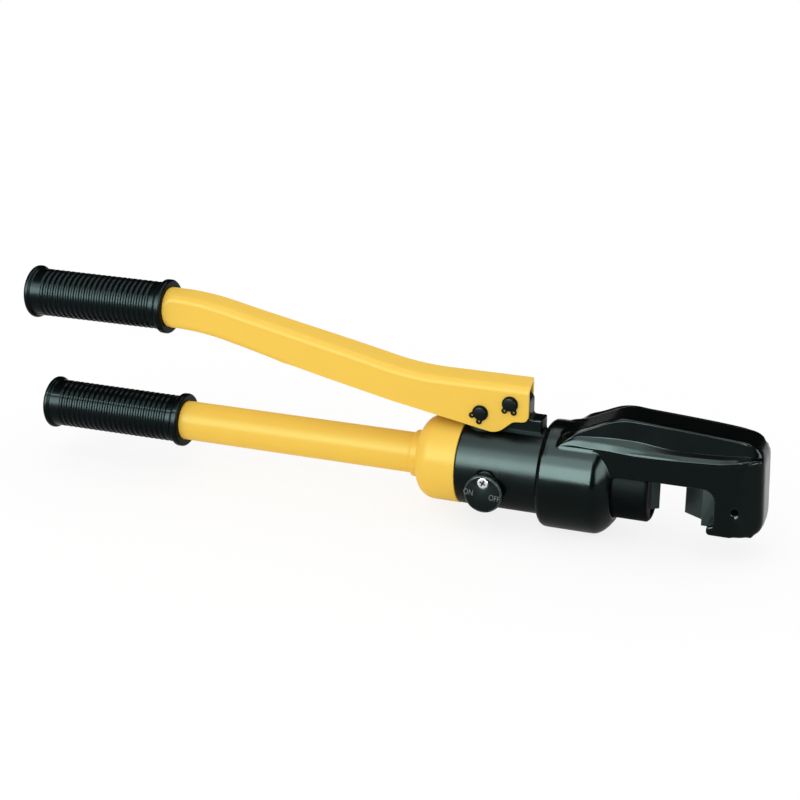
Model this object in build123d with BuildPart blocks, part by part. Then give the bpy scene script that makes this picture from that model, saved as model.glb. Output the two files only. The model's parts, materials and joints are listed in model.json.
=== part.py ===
from build123d import *
import os
from math import acos, cos, hypot, radians, sin

# Hydraulic rebar cutter, in millimetres. X runs along the tool axis from the fixed grip to the jaws,
# Y across the tool, away from the release knob, and Z up to the pump lever. The origin is the middle
# of the fixed grip.

# Fits
running_gap = 0.05
seat_gap = 0.1
free_gap = 0.4

# Straight pieces in each turn of a coil spring
turn_pieces = 12

# Fixed handle, which holds the oil bladder
tube_r = 16.0
tube_wall = 2.5
tube_exposed = 200.0
end_plug_length = 8.0
bladder_end_gap = 27.0
bladder_wall = 1.5
bladder_gap = 0.5
bladder_flange_width = 9.0
bladder_flange_length = 3.0
filter_r = 7.0
filter_wall = 1.2

# Rubber grips
grip_length = 125.0
grip_wall = 3.3
grip_cap = 5.0
bead_rise = 2.5
bead_bevel = 1.6
rear_bead_width = 2.0
front_bead_width = 3.4
bead_neck = 1.6
groove_count = 21
groove_pitch = 4.8
groove_width = 3.2
groove_depth = 0.8
groove_offset = 1.1

# Reservoir collar between handle tube and pump body
neck_wall = 2.4
neck_length = 7.0
neck_edge = 1.4
collar_length = 35.0
collar_step = 0.25
collar_wall = 5.2
collar_face = 0.75
shoulder_facets = 5
collar_floor = 8.0

# Pump body
body_r = 32.9
body_exposed = 64.8
thread_length = 10.2
spigot_length = 18.0
spigot_seal_section = 3.0
lug_width = 16.0
lug_reach = 12.8
lug_front_gap = 3.5
lug_crown_r = 10.4
lug_step_z = 43.6
boss_r = 11.5
boss_top = 35.5

# Pump plunger and its gland
plunger_r = 6.0
plunger_bottom = 4.0
plunger_bore_sump = 4.0
plunger_head_width = 20.0
plunger_head_wall = 4.0
slot_lift_gap = 0.3
gland_r = 8.6
gland_length = 7.0
gland_proud = 1.0
plunger_seal_length = 3.0

# Poppet valves inside the pump body
poppet_r = 2.5
poppet_gap = 0.3
poppet_nose_r = 0.8
poppet_cone = 2.6
poppet_skirt = 2.0
valve_hole_r = 1.6
valve_spring_length = 8.0
valve_spring_r = 1.8
valve_wire = 0.6
valve_turns = 4
suction_seat_length = 5.0
suction_stop_length = 3.0
gallery_cover = 16.9
discharge_seat_x = 56.0
relief_x = 44.0
relief_seat_y = 8.0
relief_screw_length = 6.0

# Release valve and its knob, on the near side of the pump body
stem_x = 25.4
stem_r = 4.0
stem_tip_y = 9.0
stem_tip_r = 1.2
stem_tip_length = 5.0
stem_neck_r = 3.0
stem_neck_length = 2.6
stem_gland_r = 7.0
stem_gland_length = 8.0
stem_seal_length = 2.5
knob_r = 15.0
knob_offset = 9.2
knob_thickness = 5.6
knob_edge = 0.9
knob_stand_off = 0.7
knob_screw_r = 2.0
knob_screw_length = 9.0
knob_screw_head_r = 4.2
knob_screw_head = 1.9
knob_screw_proud = 0.4

# Pump lever, a round tube that is pressed out into a channel at its front
lever_grip_x = -9.7
lever_axis_z = 96.6
lever_width = 31.0
lever_wall = 3.0
lever_tube_flat = 0.1
lever_top_z = 70.8
lever_front = 52.4
lever_front_skew = 4.5
lever_slope = 0.232
lever_bend = -222.0
lever_bend_reach = 24.0
lever_square_start = -210.0
lever_square_end = -60.0
lever_corner_r = 6.0
lever_skirt_start = -165.0
lever_skirt_end = 10.0
lever_skirt = 14.0
lever_stations = 16
mouth_x = -152.0
mouth_z = 67.4
mouth_r = 60.0
mouth_run = 38.0
mouth_rise = 12.4
skirt_x = -55.0
skirt_z = 46.9
skirt_r = 300.0
belly_x = 28.2
belly_z = 31.8
belly_r = 14.0
step_x = 40.8
step_z = 42.9
step_r = 6.0
front_edge_z = 43.8
front_edge_r = 4.5

# Lever pins, with their retaining rings
pivot_x = 38.4
pivot_z = 56.8
drive_arm_x = 23.2
drive_arm_z = 10.0
lever_swing = 50.0
pin_r = 5.0
pin_end = 1.6
pin_head_r = 7.0
pin_head = 2.2
washer_r = 7.8
clip_thickness = 1.2
clip_width = 2.1
clip_groove = 0.4
clip_lug_r = 1.9
clip_lug_inset = 0.45
clip_lug_turn = 32.0
clip_gap_turn = 24.0
drive_clip_turn = 226.0
pivot_clip_turn = 259.0

# Jaw head: cylinder barrel and C frame
barrel_wall = 8.4
barrel_length = 40.7
shoulder_r = 5.5
crown_length = 15.0
crown_drop = 12.4
crown_facets = 3
cylinder_seat = 2.9
front_wall = 13.5
frame_half_width = 26.5
spine_half_width = 15.0
ramp_foot_x = 79.5
ramp_foot_z = 40.0
ramp_bend_x = 91.0
ramp_bend_z = 42.5
ramp_bend_r = 20.0
ramp_slope = 0.475
crest_x = 120.9
crest_r = 26.0
crest_fall = 0.07
ledge_z = 39.0
ledge_drop = 4.2
ledge_end = 184.0
ledge_fade = 211.5
ledge_fade_z = 43.0
nose_x = 231.0
nose_lean = 3.0
nose_r = 17.0
nose_foot_r = 9.0
nose_chamfer_length = 14.0
throat_top = 14.2
throat_r = 9.0
hook_x = 196.0
hook_bottom = -21.0
lip_reach = 4.7
lip_top = -13.7
lip_edge_r = 2.2
lip_root_r = 1.0

# Ram, its seal and its return spring
ram_step = 3.2
ram_rear_gap = 0.3
ram_length = 71.7
ram_edge = 2.0
ram_flat_gap = 0.3
piston_length = 11.0
seal_groove_x = 2.2
seal_section = 3.5
guide_ring_length = 1.5
cavity_r = 12.0
cavity_length = 48.0
retainer_length = 5.0
rod_r = 4.0
rod_thread_length = 10.0
rod_reach = 41.0
rod_head_r = 9.5
rod_head_length = 4.5
return_spring_r = 7.5
return_wire = 2.4
return_turns = 5

# Blades
jaw_opening = 19.0
fixed_base = 11.1
moving_base = 4.0
blade_half_width = 8.3
bevel_length = 13.9
blade_top_gap = 0.4
edge_bottom = -17.0
base_bottom = -22.0
base_gap = 0.3
tang_z = -0.5
fixed_tang_r = 6.0
fixed_tang_length = 21.0
moving_tang_r = 5.0
moving_tang_length = 7.0
fixed_screw_x = 15.0
fixed_screw_r = 2.4
fixed_screw_recess = 4.0
moving_screw_r = 2.4
moving_screw_recess = 0.4

# Stations along the tool axis
tube_rear = grip_cap - grip_length / 2
neck_x = grip_length / 2 + tube_exposed
collar_x = neck_x + neck_length
floor_x = collar_x + collar_floor
body_x = collar_x + collar_length
spigot_x = body_x - spigot_length
head_x = body_x + body_exposed
body_front_x = head_x + thread_length
barrel_x = head_x + barrel_length
cone_x = barrel_x + crown_length
cylinder_end_x = cone_x - front_wall
stem_at = body_x + stem_x
relief_at = body_x + relief_x

# Radii about the tool axis
tube_bore_r = tube_r - tube_wall
bladder_r = tube_bore_r - bladder_gap
bladder_bore_r = bladder_r - bladder_wall
bladder_flange_r = bladder_r + bladder_flange_width
neck_r = tube_r + neck_wall
collar_r = body_r + collar_step
collar_bore_r = collar_r - collar_wall
collar_shoulder_r = collar_r - neck_r - collar_face
spigot_r = collar_bore_r - seat_gap
spigot_seal_r = spigot_r - spigot_seal_section
socket_r = body_r + seat_gap
barrel_r = socket_r + barrel_wall
cylinder_r = body_r - cylinder_seat
ram_r = cylinder_r - ram_step
valve_bore_r = poppet_r + poppet_gap
gallery_z = gallery_cover - body_r

# Lever mechanism: the plunger stands under the middle of the drive pin's drift
lug_half_width = lug_width / 2
lever_half_width = lever_width / 2
lever_inner = lever_half_width - lever_wall
pivot_at = body_x + pivot_x
drive_at = pivot_at - drive_arm_x
drive_z = pivot_z - drive_arm_z
drive_arm = hypot(drive_arm_x, drive_arm_z)
open_arm_x = drive_arm_x * cos(radians(lever_swing)) + drive_arm_z * sin(radians(lever_swing))
least_arm_x = min(drive_arm_x, open_arm_x)
plunger_x = pivot_at - (drive_arm + least_arm_x) / 2
slot_half_length = pin_r + (drive_arm - least_arm_x) / 2 + free_gap
slot_half_height = pin_r + slot_lift_gap
plunger_head_height = 2 * (slot_half_height + plunger_head_wall)
plunger_bore_bottom = gallery_z - plunger_bore_sump
gland_top = boss_top + gland_proud
gland_seat_z = gland_top - gland_length - plunger_seal_length
clip_y = -lever_half_width - seat_gap
pin_end_y = clip_y - clip_thickness - pin_end
pin_head_y = lever_half_width + seat_gap

# Jaw stations: the moving edge stands one jaw opening behind the fixed edge
hook_at = body_x + hook_x
fixed_tip_x = hook_at - fixed_base - bevel_length
moving_tip_x = fixed_tip_x - jaw_opening
ram_rear_x = body_front_x + ram_rear_gap
ram_front_x = ram_rear_x + ram_length
piston_front_x = ram_rear_x + piston_length
moving_back_x = moving_tip_x - bevel_length - moving_base
ram_flat_z = throat_top - ram_flat_gap
blade_top = throat_top - blade_top_gap

# The cones of the poppets touch the rims of their seats
poppet_nose = poppet_cone * (valve_hole_r - running_gap - poppet_nose_r) / (poppet_r - poppet_nose_r)
spring_rest = poppet_cone - poppet_nose + poppet_skirt
valve_stop = spring_rest + valve_spring_length

os.makedirs("parts", exist_ok=True)


def save(part, name):
    """Label a finished piece and write it to its own file."""
    part.label = name
    export_step(part, f"parts/{name}.step")


def near_plane(x, z, y=0.0):
    """A plane that faces the near side of the tool, with its origin at a point."""
    return Plane(origin=(x, y, z), x_dir=(1, 0, 0), z_dir=(0, -1, 0))


def far_plane(x, z, y=0.0):
    """A plane that faces the far side of the tool, with its origin at a point."""
    return Plane(origin=(x, y, z), x_dir=(1, 0, 0), z_dir=(0, 1, 0))


def ring(plane, r_out, r_in, length):
    """A round ring that stands on a plane."""
    with BuildPart() as part:
        with BuildSketch(plane):
            Circle(r_out)
            Circle(r_in, mode=Mode.SUBTRACT)
        extrude(amount=length)
    return part.part


def bar(plane, r, length):
    """A round bar that stands on a plane."""
    with BuildPart() as part:
        with BuildSketch(plane):
            Circle(r)
        extrude(amount=length)
    return part.part


def cross_plane(x, z=0.0):
    """A plane square to the tool axis, with its origin at a station and height."""
    return Plane(origin=(x, 0, z), x_dir=(0, 1, 0), z_dir=(1, 0, 0))


def grip(centre_x, axis_z):
    """A grooved rubber sleeve with a bead at each end and a closed rear."""
    half = grip_length / 2
    bore = tube_r + running_gap
    skin = tube_r + grip_wall
    bead = skin + bead_rise
    rear_neck = rear_bead_width + bead_bevel - half
    front_neck = half - bead_bevel - front_bead_width
    edge = groove_width / 2
    grooves = []
    for n in range(groove_count):
        x = groove_offset + groove_pitch * (n - (groove_count - 1) / 2)
        grooves += [(x - edge, skin), (x, skin - groove_depth), (x + edge, skin)]
    with BuildPart() as sleeve:
        with BuildSketch(near_plane(centre_x, axis_z)):
            with BuildLine():
                Polyline(
                    (grip_cap - half, bore),
                    (grip_cap - half, 0),
                    (-half, 0),
                    (-half, bead - bead_bevel),
                    (bead_bevel - half, bead),
                    (rear_neck, bead),
                    (rear_neck + bead_neck, skin),
                    *grooves,
                    (front_neck - bead_neck, skin),
                    (front_neck, bead),
                    (half - bead_bevel, bead),
                    (half, bead - bead_bevel),
                    (half, bore),
                    close=True,
                )
            make_face()
        revolve(axis=Axis((centre_x, 0, axis_z), (1, 0, 0)))
    return sleeve.part


def spring(plane, radius, wire, length, turns):
    """A coil spring of square wire that stands on a plane, drawn with short straight pieces."""
    pieces = turns * turn_pieces
    climb = (length - 2 * wire) / pieces
    bend = radians(360 / turn_pieces)
    points = [
        plane.from_local_coords((radius * cos(n * bend), radius * sin(n * bend), wire + n * climb))
        for n in range(pieces + 1)
    ]
    with BuildPart() as coil:
        with BuildLine() as path:
            Polyline(*points)
        with BuildSketch(Plane(points[0], x_dir=points[0] - plane.origin, z_dir=path.line % 0)):
            Rectangle(wire, wire)
        sweep(transition=Transition.RIGHT)
    return coil.part


def valve_spring(plane):
    """The small spring behind a valve poppet."""
    return spring(plane, valve_spring_r, valve_wire, valve_spring_length, valve_turns)


def poppet(plane):
    """A valve poppet on a seat plane: a cone that closes the seat's hole, with a round skirt behind it."""
    with BuildPart() as cone:
        with BuildSketch(plane.offset(-poppet_nose)):
            Circle(poppet_nose_r)
        with BuildSketch(plane.offset(poppet_cone - poppet_nose)):
            Circle(poppet_r)
        loft(ruled=True)
        with BuildSketch(plane.offset(poppet_cone - poppet_nose)):
            Circle(poppet_r)
        extrude(amount=poppet_skirt)
    return cone.part


# Fixed handle
save(ring(cross_plane(tube_rear), tube_r, tube_bore_r, floor_x - tube_rear), "handle_tube")
save(grip(0.0, 0.0), "handle_grip")
save(bar(cross_plane(tube_rear), tube_bore_r - seat_gap, end_plug_length), "handle_end_plug")

bladder_rear_x = tube_rear + end_plug_length + bladder_end_gap
clamp_x = floor_x + bladder_flange_length
with BuildPart() as oil_bladder:
    with BuildSketch(Plane.XZ):
        with BuildLine():
            Polyline(
                (bladder_rear_x, 0),
                (bladder_rear_x, bladder_r),
                (floor_x, bladder_r),
                (floor_x, bladder_flange_r),
                (clamp_x, bladder_flange_r),
                (clamp_x, bladder_bore_r),
                (bladder_rear_x + bladder_wall, bladder_bore_r),
                (bladder_rear_x + bladder_wall, 0),
                close=True,
            )
        make_face()
    revolve(axis=Axis.X)
save(oil_bladder.part, "oil_bladder")

save(ring(cross_plane(clamp_x), bladder_flange_r, bladder_bore_r, spigot_x - clamp_x), "bladder_clamp")

with BuildPart() as suction_filter:
    with BuildSketch(cross_plane(clamp_x)):
        Circle(filter_r)
    extrude(amount=spigot_x - clamp_x)
    with BuildSketch(cross_plane(clamp_x + filter_wall)):
        Circle(filter_r - filter_wall)
    extrude(amount=spigot_x - clamp_x, mode=Mode.SUBTRACT)
save(suction_filter.part, "suction_filter")

# Reservoir collar: a turned cup with a round shoulder and a neck that holds the tube
with BuildPart() as reservoir_collar:
    with BuildSketch(Plane.XZ):
        with BuildLine():
            Polyline(
                (body_x, collar_r),
                (body_x, collar_bore_r),
                (floor_x, collar_bore_r),
                (floor_x, tube_r + running_gap),
                (neck_x, tube_r + running_gap),
                (neck_x, neck_r),
                (collar_x, neck_r),
                (collar_x, neck_r + collar_face),
            )
            shoulder_turns = [radians(90 * n / shoulder_facets) for n in range(shoulder_facets + 1)]
            Polyline(
                *[
                    (
                        collar_x + collar_shoulder_r * (1 - cos(turn)),
                        collar_r - collar_shoulder_r * (1 - sin(turn)),
                    )
                    for turn in shoulder_turns
                ],
                (body_x, collar_r),
            )
        make_face()
    revolve(axis=Axis.X)
    neck_rim = reservoir_collar.edges().group_by(Axis.X)[0].sort_by(SortBy.LENGTH)[-1]
    chamfer(neck_rim, length=neck_edge)
save(reservoir_collar.part, "reservoir_collar")

# Pump body: turned cylinder with the plunger boss and the pivot lug on top
spigot_seal_x = spigot_x + spigot_length / 2
spigot_seal_end = spigot_seal_x + spigot_seal_section
lug_turn = acos(lug_crown_r / lug_reach)
lug_tangent_x = lug_crown_r * cos(lug_turn)
lug_tangent_z = lug_crown_r * sin(lug_turn)
lug_front = head_x - lug_front_gap - pivot_at
discharge_seat_at = body_x + discharge_seat_x
knob_rear = body_r + knob_stand_off
stem_seal_seat = body_r - stem_gland_length - stem_seal_length
with BuildPart() as pump_body:
    with BuildSketch(Plane.XZ):
        with BuildLine():
            Polyline(
                (spigot_x, 0),
                (spigot_x, spigot_r),
                (spigot_seal_x, spigot_r),
                (spigot_seal_x, spigot_seal_r),
                (spigot_seal_end, spigot_seal_r),
                (spigot_seal_end, spigot_r),
                (body_x, spigot_r),
                (body_x, body_r),
                (body_front_x, body_r),
                (body_front_x, 0),
                close=True,
            )
        make_face()
    revolve(axis=Axis.X)
    with BuildSketch(Plane.XY):
        with Locations((plunger_x, 0)):
            Circle(boss_r)
    extrude(amount=boss_top)
    with BuildSketch(near_plane(pivot_at, pivot_z)):
        with BuildLine():
            crown = ThreePointArc(
                (-lug_tangent_x, lug_tangent_z), (0, lug_crown_r), (lug_tangent_x, lug_tangent_z)
            )
            Polyline(
                crown @ 1,
                (lug_reach, 0),
                (lug_reach, lug_step_z - pivot_z),
                (lug_front, lug_step_z - pivot_z),
                (lug_front, -pivot_z),
                (-lug_reach, -pivot_z),
                (-lug_reach, 0),
                crown @ 0,
            )
        make_face()
    extrude(amount=lug_half_width, both=True)
    # Pivot bore
    with BuildSketch(near_plane(pivot_at, pivot_z)):
        Circle(pin_r + running_gap)
    extrude(amount=lug_width, both=True, mode=Mode.SUBTRACT)
    # Plunger bore and the counterbore of its gland
    with BuildSketch(Plane.XY.offset(plunger_bore_bottom)):
        with Locations((plunger_x, 0)):
            Circle(plunger_r + running_gap)
    extrude(amount=gland_top - plunger_bore_bottom, mode=Mode.SUBTRACT)
    with BuildSketch(Plane.XY.offset(gland_seat_z)):
        with Locations((plunger_x, 0)):
            Circle(gland_r + seat_gap)
    extrude(amount=gland_length + plunger_seal_length, mode=Mode.SUBTRACT)
    # Suction bore on the axis, from the reservoir to the plunger bore
    with BuildSketch(cross_plane(spigot_x)):
        Circle(valve_bore_r)
    extrude(amount=plunger_x - spigot_x, mode=Mode.SUBTRACT)
    # Discharge gallery, from the plunger bore to the cylinder
    with BuildSketch(cross_plane(plunger_x, gallery_z)):
        Circle(valve_hole_r)
    extrude(amount=body_front_x - plunger_x, mode=Mode.SUBTRACT)
    with BuildSketch(cross_plane(discharge_seat_at, gallery_z)):
        Circle(valve_bore_r)
    extrude(amount=body_front_x - discharge_seat_at, mode=Mode.SUBTRACT)
    # Relief bore, from the gallery to the far side
    with BuildSketch(near_plane(relief_at, gallery_z)):
        Circle(valve_hole_r)
    extrude(amount=-relief_seat_y, mode=Mode.SUBTRACT)
    with BuildSketch(near_plane(relief_at, gallery_z, relief_seat_y)):
        Circle(valve_bore_r)
    extrude(amount=-body_r, mode=Mode.SUBTRACT)
    # Threaded hole of the spring rod
    with BuildSketch(cross_plane(body_front_x)):
        Circle(rod_r + seat_gap)
    extrude(amount=-rod_thread_length, mode=Mode.SUBTRACT)
    # Release valve bore on the near side
    with BuildSketch(near_plane(stem_at, 0, -stem_tip_y)):
        Circle(stem_r + running_gap)
    extrude(amount=body_r, mode=Mode.SUBTRACT)
    with BuildSketch(near_plane(stem_at, 0, -stem_seal_seat)):
        Circle(stem_gland_r + seat_gap)
    extrude(amount=body_r, mode=Mode.SUBTRACT)
save(pump_body.part, "pump_body")

spigot_seal = ring(cross_plane(spigot_seal_x), spigot_r, spigot_seal_r + seat_gap, spigot_seal_section)
save(spigot_seal, "spigot_seal")

# Pump plunger: a rod with a slotted head that the drive pin lifts and pushes
with BuildPart() as pump_plunger:
    with BuildSketch(near_plane(plunger_x, drive_z)):
        Rectangle(plunger_head_width, plunger_head_height)
        SlotOverall(2 * slot_half_length, 2 * slot_half_height, mode=Mode.SUBTRACT)
    extrude(amount=lug_half_width, both=True)
    with BuildSketch(Plane.XY.offset(plunger_bottom)):
        with Locations((plunger_x, 0)):
            Circle(plunger_r)
    extrude(amount=drive_z - plunger_head_height / 2 - plunger_bottom)
save(pump_plunger.part, "pump_plunger")

seal_plane = Plane(origin=(plunger_x, 0, gland_seat_z))
gland_plane = seal_plane.offset(plunger_seal_length)
save(ring(seal_plane, gland_r, plunger_r + running_gap, plunger_seal_length), "plunger_seal")
save(ring(gland_plane, gland_r, plunger_r + running_gap, gland_length), "plunger_gland")

# Suction valve, on the tool axis
seat_r = valve_bore_r - seat_gap
suction_x = spigot_x + suction_seat_length
save(ring(cross_plane(spigot_x), seat_r, valve_hole_r, suction_seat_length), "suction_seat")
save(poppet(cross_plane(suction_x)), "suction_poppet")
save(valve_spring(cross_plane(suction_x + spring_rest)), "suction_spring")
save(ring(cross_plane(suction_x + valve_stop), seat_r, valve_hole_r, suction_stop_length), "suction_stop")

# Discharge valve, in the gallery below the axis
save(poppet(cross_plane(discharge_seat_at, gallery_z)), "discharge_poppet")
save(valve_spring(cross_plane(discharge_seat_at + spring_rest, gallery_z)), "discharge_spring")
plug_x = discharge_seat_at + valve_stop
save(ring(cross_plane(plug_x, gallery_z), seat_r, valve_hole_r, body_front_x - plug_x), "discharge_plug")

# Relief valve, in the far side of the pump body
save(poppet(far_plane(relief_at, gallery_z, relief_seat_y)), "relief_poppet")
save(valve_spring(far_plane(relief_at, gallery_z, relief_seat_y + spring_rest)), "relief_spring")
relief_stop = far_plane(relief_at, gallery_z, relief_seat_y + valve_stop)
save(bar(relief_stop, seat_r, relief_screw_length), "relief_screw")

# Release valve: a stem with a cone tip, turned by an offset disc
with BuildPart() as valve_stem:
    with BuildSketch(Plane.XY):
        with BuildLine():
            tip_y = -stem_tip_y - running_gap
            Polyline(
                (stem_at, tip_y),
                (stem_at + stem_tip_r, tip_y),
                (stem_at + stem_r, tip_y - stem_tip_length),
                (stem_at + stem_r, -knob_rear),
                (stem_at + stem_neck_r, -knob_rear),
                (stem_at + stem_neck_r, -knob_rear - stem_neck_length),
                (stem_at, -knob_rear - stem_neck_length),
                close=True,
            )
        make_face()
    revolve(axis=Axis((stem_at, 0, 0), (0, 1, 0)))
    with BuildSketch(near_plane(stem_at, 0, -knob_rear - stem_neck_length)):
        Circle(knob_screw_r + seat_gap)
    extrude(amount=-knob_screw_length, mode=Mode.SUBTRACT)
save(valve_stem.part, "valve_stem")

stem_seal = near_plane(stem_at, 0, -stem_seal_seat)
save(ring(stem_seal, stem_gland_r, stem_r + running_gap, stem_seal_length), "stem_seal")
stem_gland = stem_seal.offset(stem_seal_length)
save(ring(stem_gland, stem_gland_r, stem_r + running_gap, stem_gland_length), "stem_gland")

screw_seat = knob_rear + knob_thickness + knob_screw_proud - knob_screw_head
with BuildPart() as release_knob:
    with BuildSketch(near_plane(stem_at, -knob_offset, -knob_rear)):
        Circle(knob_r)
    extrude(amount=knob_thickness)
    chamfer(release_knob.edges().group_by(Axis.Y)[0], length=knob_edge)
    with BuildSketch(near_plane(stem_at, 0, -knob_rear)):
        Circle(knob_screw_r + seat_gap)
    extrude(amount=knob_thickness, mode=Mode.SUBTRACT)
    with BuildSketch(near_plane(stem_at, 0, -knob_rear)):
        Circle(stem_neck_r + seat_gap)
    extrude(amount=stem_neck_length, mode=Mode.SUBTRACT)
    with BuildSketch(near_plane(stem_at, 0, -screw_seat)):
        Circle(knob_screw_head_r + seat_gap)
    extrude(amount=knob_thickness, mode=Mode.SUBTRACT)
save(release_knob.part, "release_knob")

with BuildPart() as knob_screw:
    with BuildSketch(near_plane(stem_at, 0, -screw_seat)):
        Circle(knob_screw_head_r)
    extrude(amount=knob_screw_head)
    chamfer(knob_screw.edges().group_by(Axis.Y)[0], length=knob_screw_proud)
    with BuildSketch(near_plane(stem_at, 0, -screw_seat)):
        Circle(knob_screw_r)
    extrude(amount=-knob_screw_length)
save(knob_screw.part, "knob_screw")

# Pump lever
lever_rear_x = lever_grip_x + tube_rear
lever_tube_top = lever_axis_z + tube_r
lever_bend_gap = (lever_tube_top - lever_top_z) / lever_slope
channel_x = body_x + lever_bend - lever_bend_reach
lever_front_x = body_x + lever_front


def ramp(x, bend):
    """Run past a bend along the top line, rounded off over the reach of the bend."""
    past = x - body_x - bend
    if past < -lever_bend_reach:
        return 0.0
    if past > lever_bend_reach:
        return past
    return (past + lever_bend_reach) ** 2 / (4 * lever_bend_reach)


def eased(x, start, end):
    """A soft step from 0 to 1 between two places along the lever."""
    t = min(max((x - body_x - start) / (end - start), 0.0), 1.0)
    return t * t * (3 - 2 * t)


def lever_top(x):
    """Height of the lever's top line, which is level, then falls, then is level again."""
    return lever_tube_top - lever_slope * (ramp(x, lever_bend) - ramp(x, lever_bend + lever_bend_gap))


def lever_section(x, inset):
    """Cross section of the lever: round at the tube, square with deep skirts at the channel."""
    square = eased(x, lever_square_start, lever_square_end)
    width = 2 * tube_r + (lever_width - 2 * tube_r) * square
    tube_corner = tube_r - lever_tube_flat
    corner = tube_corner + (lever_corner_r - tube_corner) * square
    height = 2 * tube_r + lever_skirt * eased(x, lever_skirt_start, lever_skirt_end)
    with BuildSketch(cross_plane(x, lever_top(x) - height / 2)) as section:
        RectangleRounded(width - 2 * inset, height - 2 * inset, corner - inset)
    return section.sketch


station_pitch = (lever_front_x + tube_r - channel_x) / (lever_stations - 1)
channel_stations = [channel_x + n * station_pitch for n in range(lever_stations)]
with BuildPart() as lever:
    for inset, mode in ((0.0, Mode.ADD), (lever_wall, Mode.SUBTRACT)):
        side = 2 * (tube_r - inset)
        with BuildSketch(cross_plane(lever_rear_x, lever_axis_z)):
            RectangleRounded(side, side, tube_r - lever_tube_flat - inset)
        extrude(amount=channel_x - lever_rear_x, mode=mode)
        loft([lever_section(x, inset) for x in channel_stations], ruled=True, mode=mode)
    # The side outline leaves the channel open below, with its skirts round the pins
    with BuildSketch(near_plane(body_x, 0)):
        with BuildLine():
            skirt = FilletPolyline(
                (mouth_x - mouth_run, mouth_z - mouth_rise),
                (mouth_x, mouth_z),
                (skirt_x, skirt_z),
                (belly_x, belly_z),
                (step_x, step_z),
                (lever_front, front_edge_z),
                (lever_front, lever_tube_top + tube_r),
                radius=(mouth_r, skirt_r, belly_r, step_r, front_edge_r),
            )
            rear = lever_rear_x - body_x - tube_r
            above = lever_tube_top + tube_r
            Polyline(skirt @ 1, (rear, above), (rear, 0), (mouth_x - mouth_run, 0), skirt @ 0)
        make_face()
    extrude(amount=2 * tube_r, both=True, mode=Mode.INTERSECT)
    # The front edge runs back towards the far side
    with BuildSketch(Plane.XY):
        with BuildLine():
            Polyline(
                (lever_front_x, -lever_inner),
                (lever_front_x + tube_r, -lever_inner),
                (lever_front_x + tube_r, lever_half_width),
                (lever_front_x - lever_front_skew, lever_half_width),
                close=True,
            )
        make_face()
    extrude(amount=lever_tube_top, mode=Mode.SUBTRACT)
    for hole in (near_plane(pivot_at, pivot_z), near_plane(drive_at, drive_z)):
        with BuildSketch(hole):
            Circle(pin_r + running_gap)
        extrude(amount=lever_width, both=True, mode=Mode.SUBTRACT)
save(lever.part, "lever")
save(grip(lever_grip_x, lever_axis_z), "lever_grip")


def lever_pin(x, z):
    """A pin across the lever, with a head on the far side and a groove for a ring on the near side."""
    with BuildPart() as pin:
        with BuildSketch(near_plane(x, z, pin_head_y + pin_head)):
            Circle(pin_head_r)
        extrude(amount=pin_head)
        with BuildSketch(near_plane(x, z, pin_head_y)):
            Circle(pin_r)
        extrude(amount=pin_head_y - pin_end_y)
        with BuildSketch(near_plane(x, z, clip_y)):
            Circle(pin_head_r)
            Circle(pin_r - clip_groove, mode=Mode.SUBTRACT)
        extrude(amount=clip_thickness, mode=Mode.SUBTRACT)
    return pin.part


def circlip(x, z, turn):
    """An open retaining ring with a lug on each side of its gap."""
    inner = pin_r - clip_groove + running_gap
    outer = inner + clip_width
    lug_at = outer - clip_lug_inset
    gap_reach = 2 * outer
    with BuildPart() as clip:
        with BuildSketch(near_plane(x, z, clip_y)):
            Circle(outer)
            for side in (-1, 1):
                lug_turn_at = radians(turn + side * clip_lug_turn)
                with Locations((lug_at * cos(lug_turn_at), lug_at * sin(lug_turn_at))):
                    Circle(clip_lug_r)
            Circle(inner, mode=Mode.SUBTRACT)
            with BuildLine():
                gap_ends = [radians(turn - clip_gap_turn), radians(turn + clip_gap_turn)]
                Polyline(
                    (0, 0),
                    *[(gap_reach * cos(end), gap_reach * sin(end)) for end in gap_ends],
                    close=True,
                )
            make_face(mode=Mode.SUBTRACT)
        extrude(amount=clip_thickness)
    return clip.part


save(lever_pin(pivot_at, pivot_z), "pivot_pin")
save(lever_pin(drive_at, drive_z), "drive_pin")

with BuildPart() as pin_circlips:
    add(circlip(pivot_at, pivot_z, pivot_clip_turn))
    add(circlip(drive_at, drive_z, drive_clip_turn))
save(pin_circlips.part, "pin_circlips")

washer_length = lever_inner - lug_half_width - seat_gap
with BuildPart() as pivot_washers:
    for washer_y in (lever_inner, washer_length - lever_inner):
        add(ring(near_plane(pivot_at, pivot_z, washer_y), washer_r, pin_r + running_gap, washer_length))
save(pivot_washers.part, "pivot_washers")

# Jaw head: the cylinder barrel runs into a C frame with a raised spine and a hooked nose
nose_at = body_x + nose_x
ramp_foot_at = body_x + ramp_foot_x
crest_at = body_x + crest_x
crest_z = ramp_bend_z + ramp_slope * (crest_x - ramp_bend_x)
nose_top_z = crest_z - crest_fall * (nose_x - crest_x)
lip_x = hook_at - lip_reach
ledge_width = frame_half_width - spine_half_width
spine_fade_z = crest_z - crest_fall * (ledge_fade - crest_x)
nose_cut = nose_chamfer_length / 2


def ledge_section(x, side, root_y, root_z, drop):
    """Cross section of what is cut away beside the spine: its wall, then the ledge and past its edge."""
    wall_y = side * spine_half_width
    past_y = side * (frame_half_width + ledge_width)
    above_z = crest_z + ledge_width
    with BuildSketch(cross_plane(x)) as section:
        with BuildLine():
            Polyline(
                (wall_y, above_z),
                (wall_y, spine_fade_z),
                (side * root_y, root_z),
                (past_y, root_z - drop),
                (past_y, above_z),
                close=True,
            )
        make_face()
    return section.sketch


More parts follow.
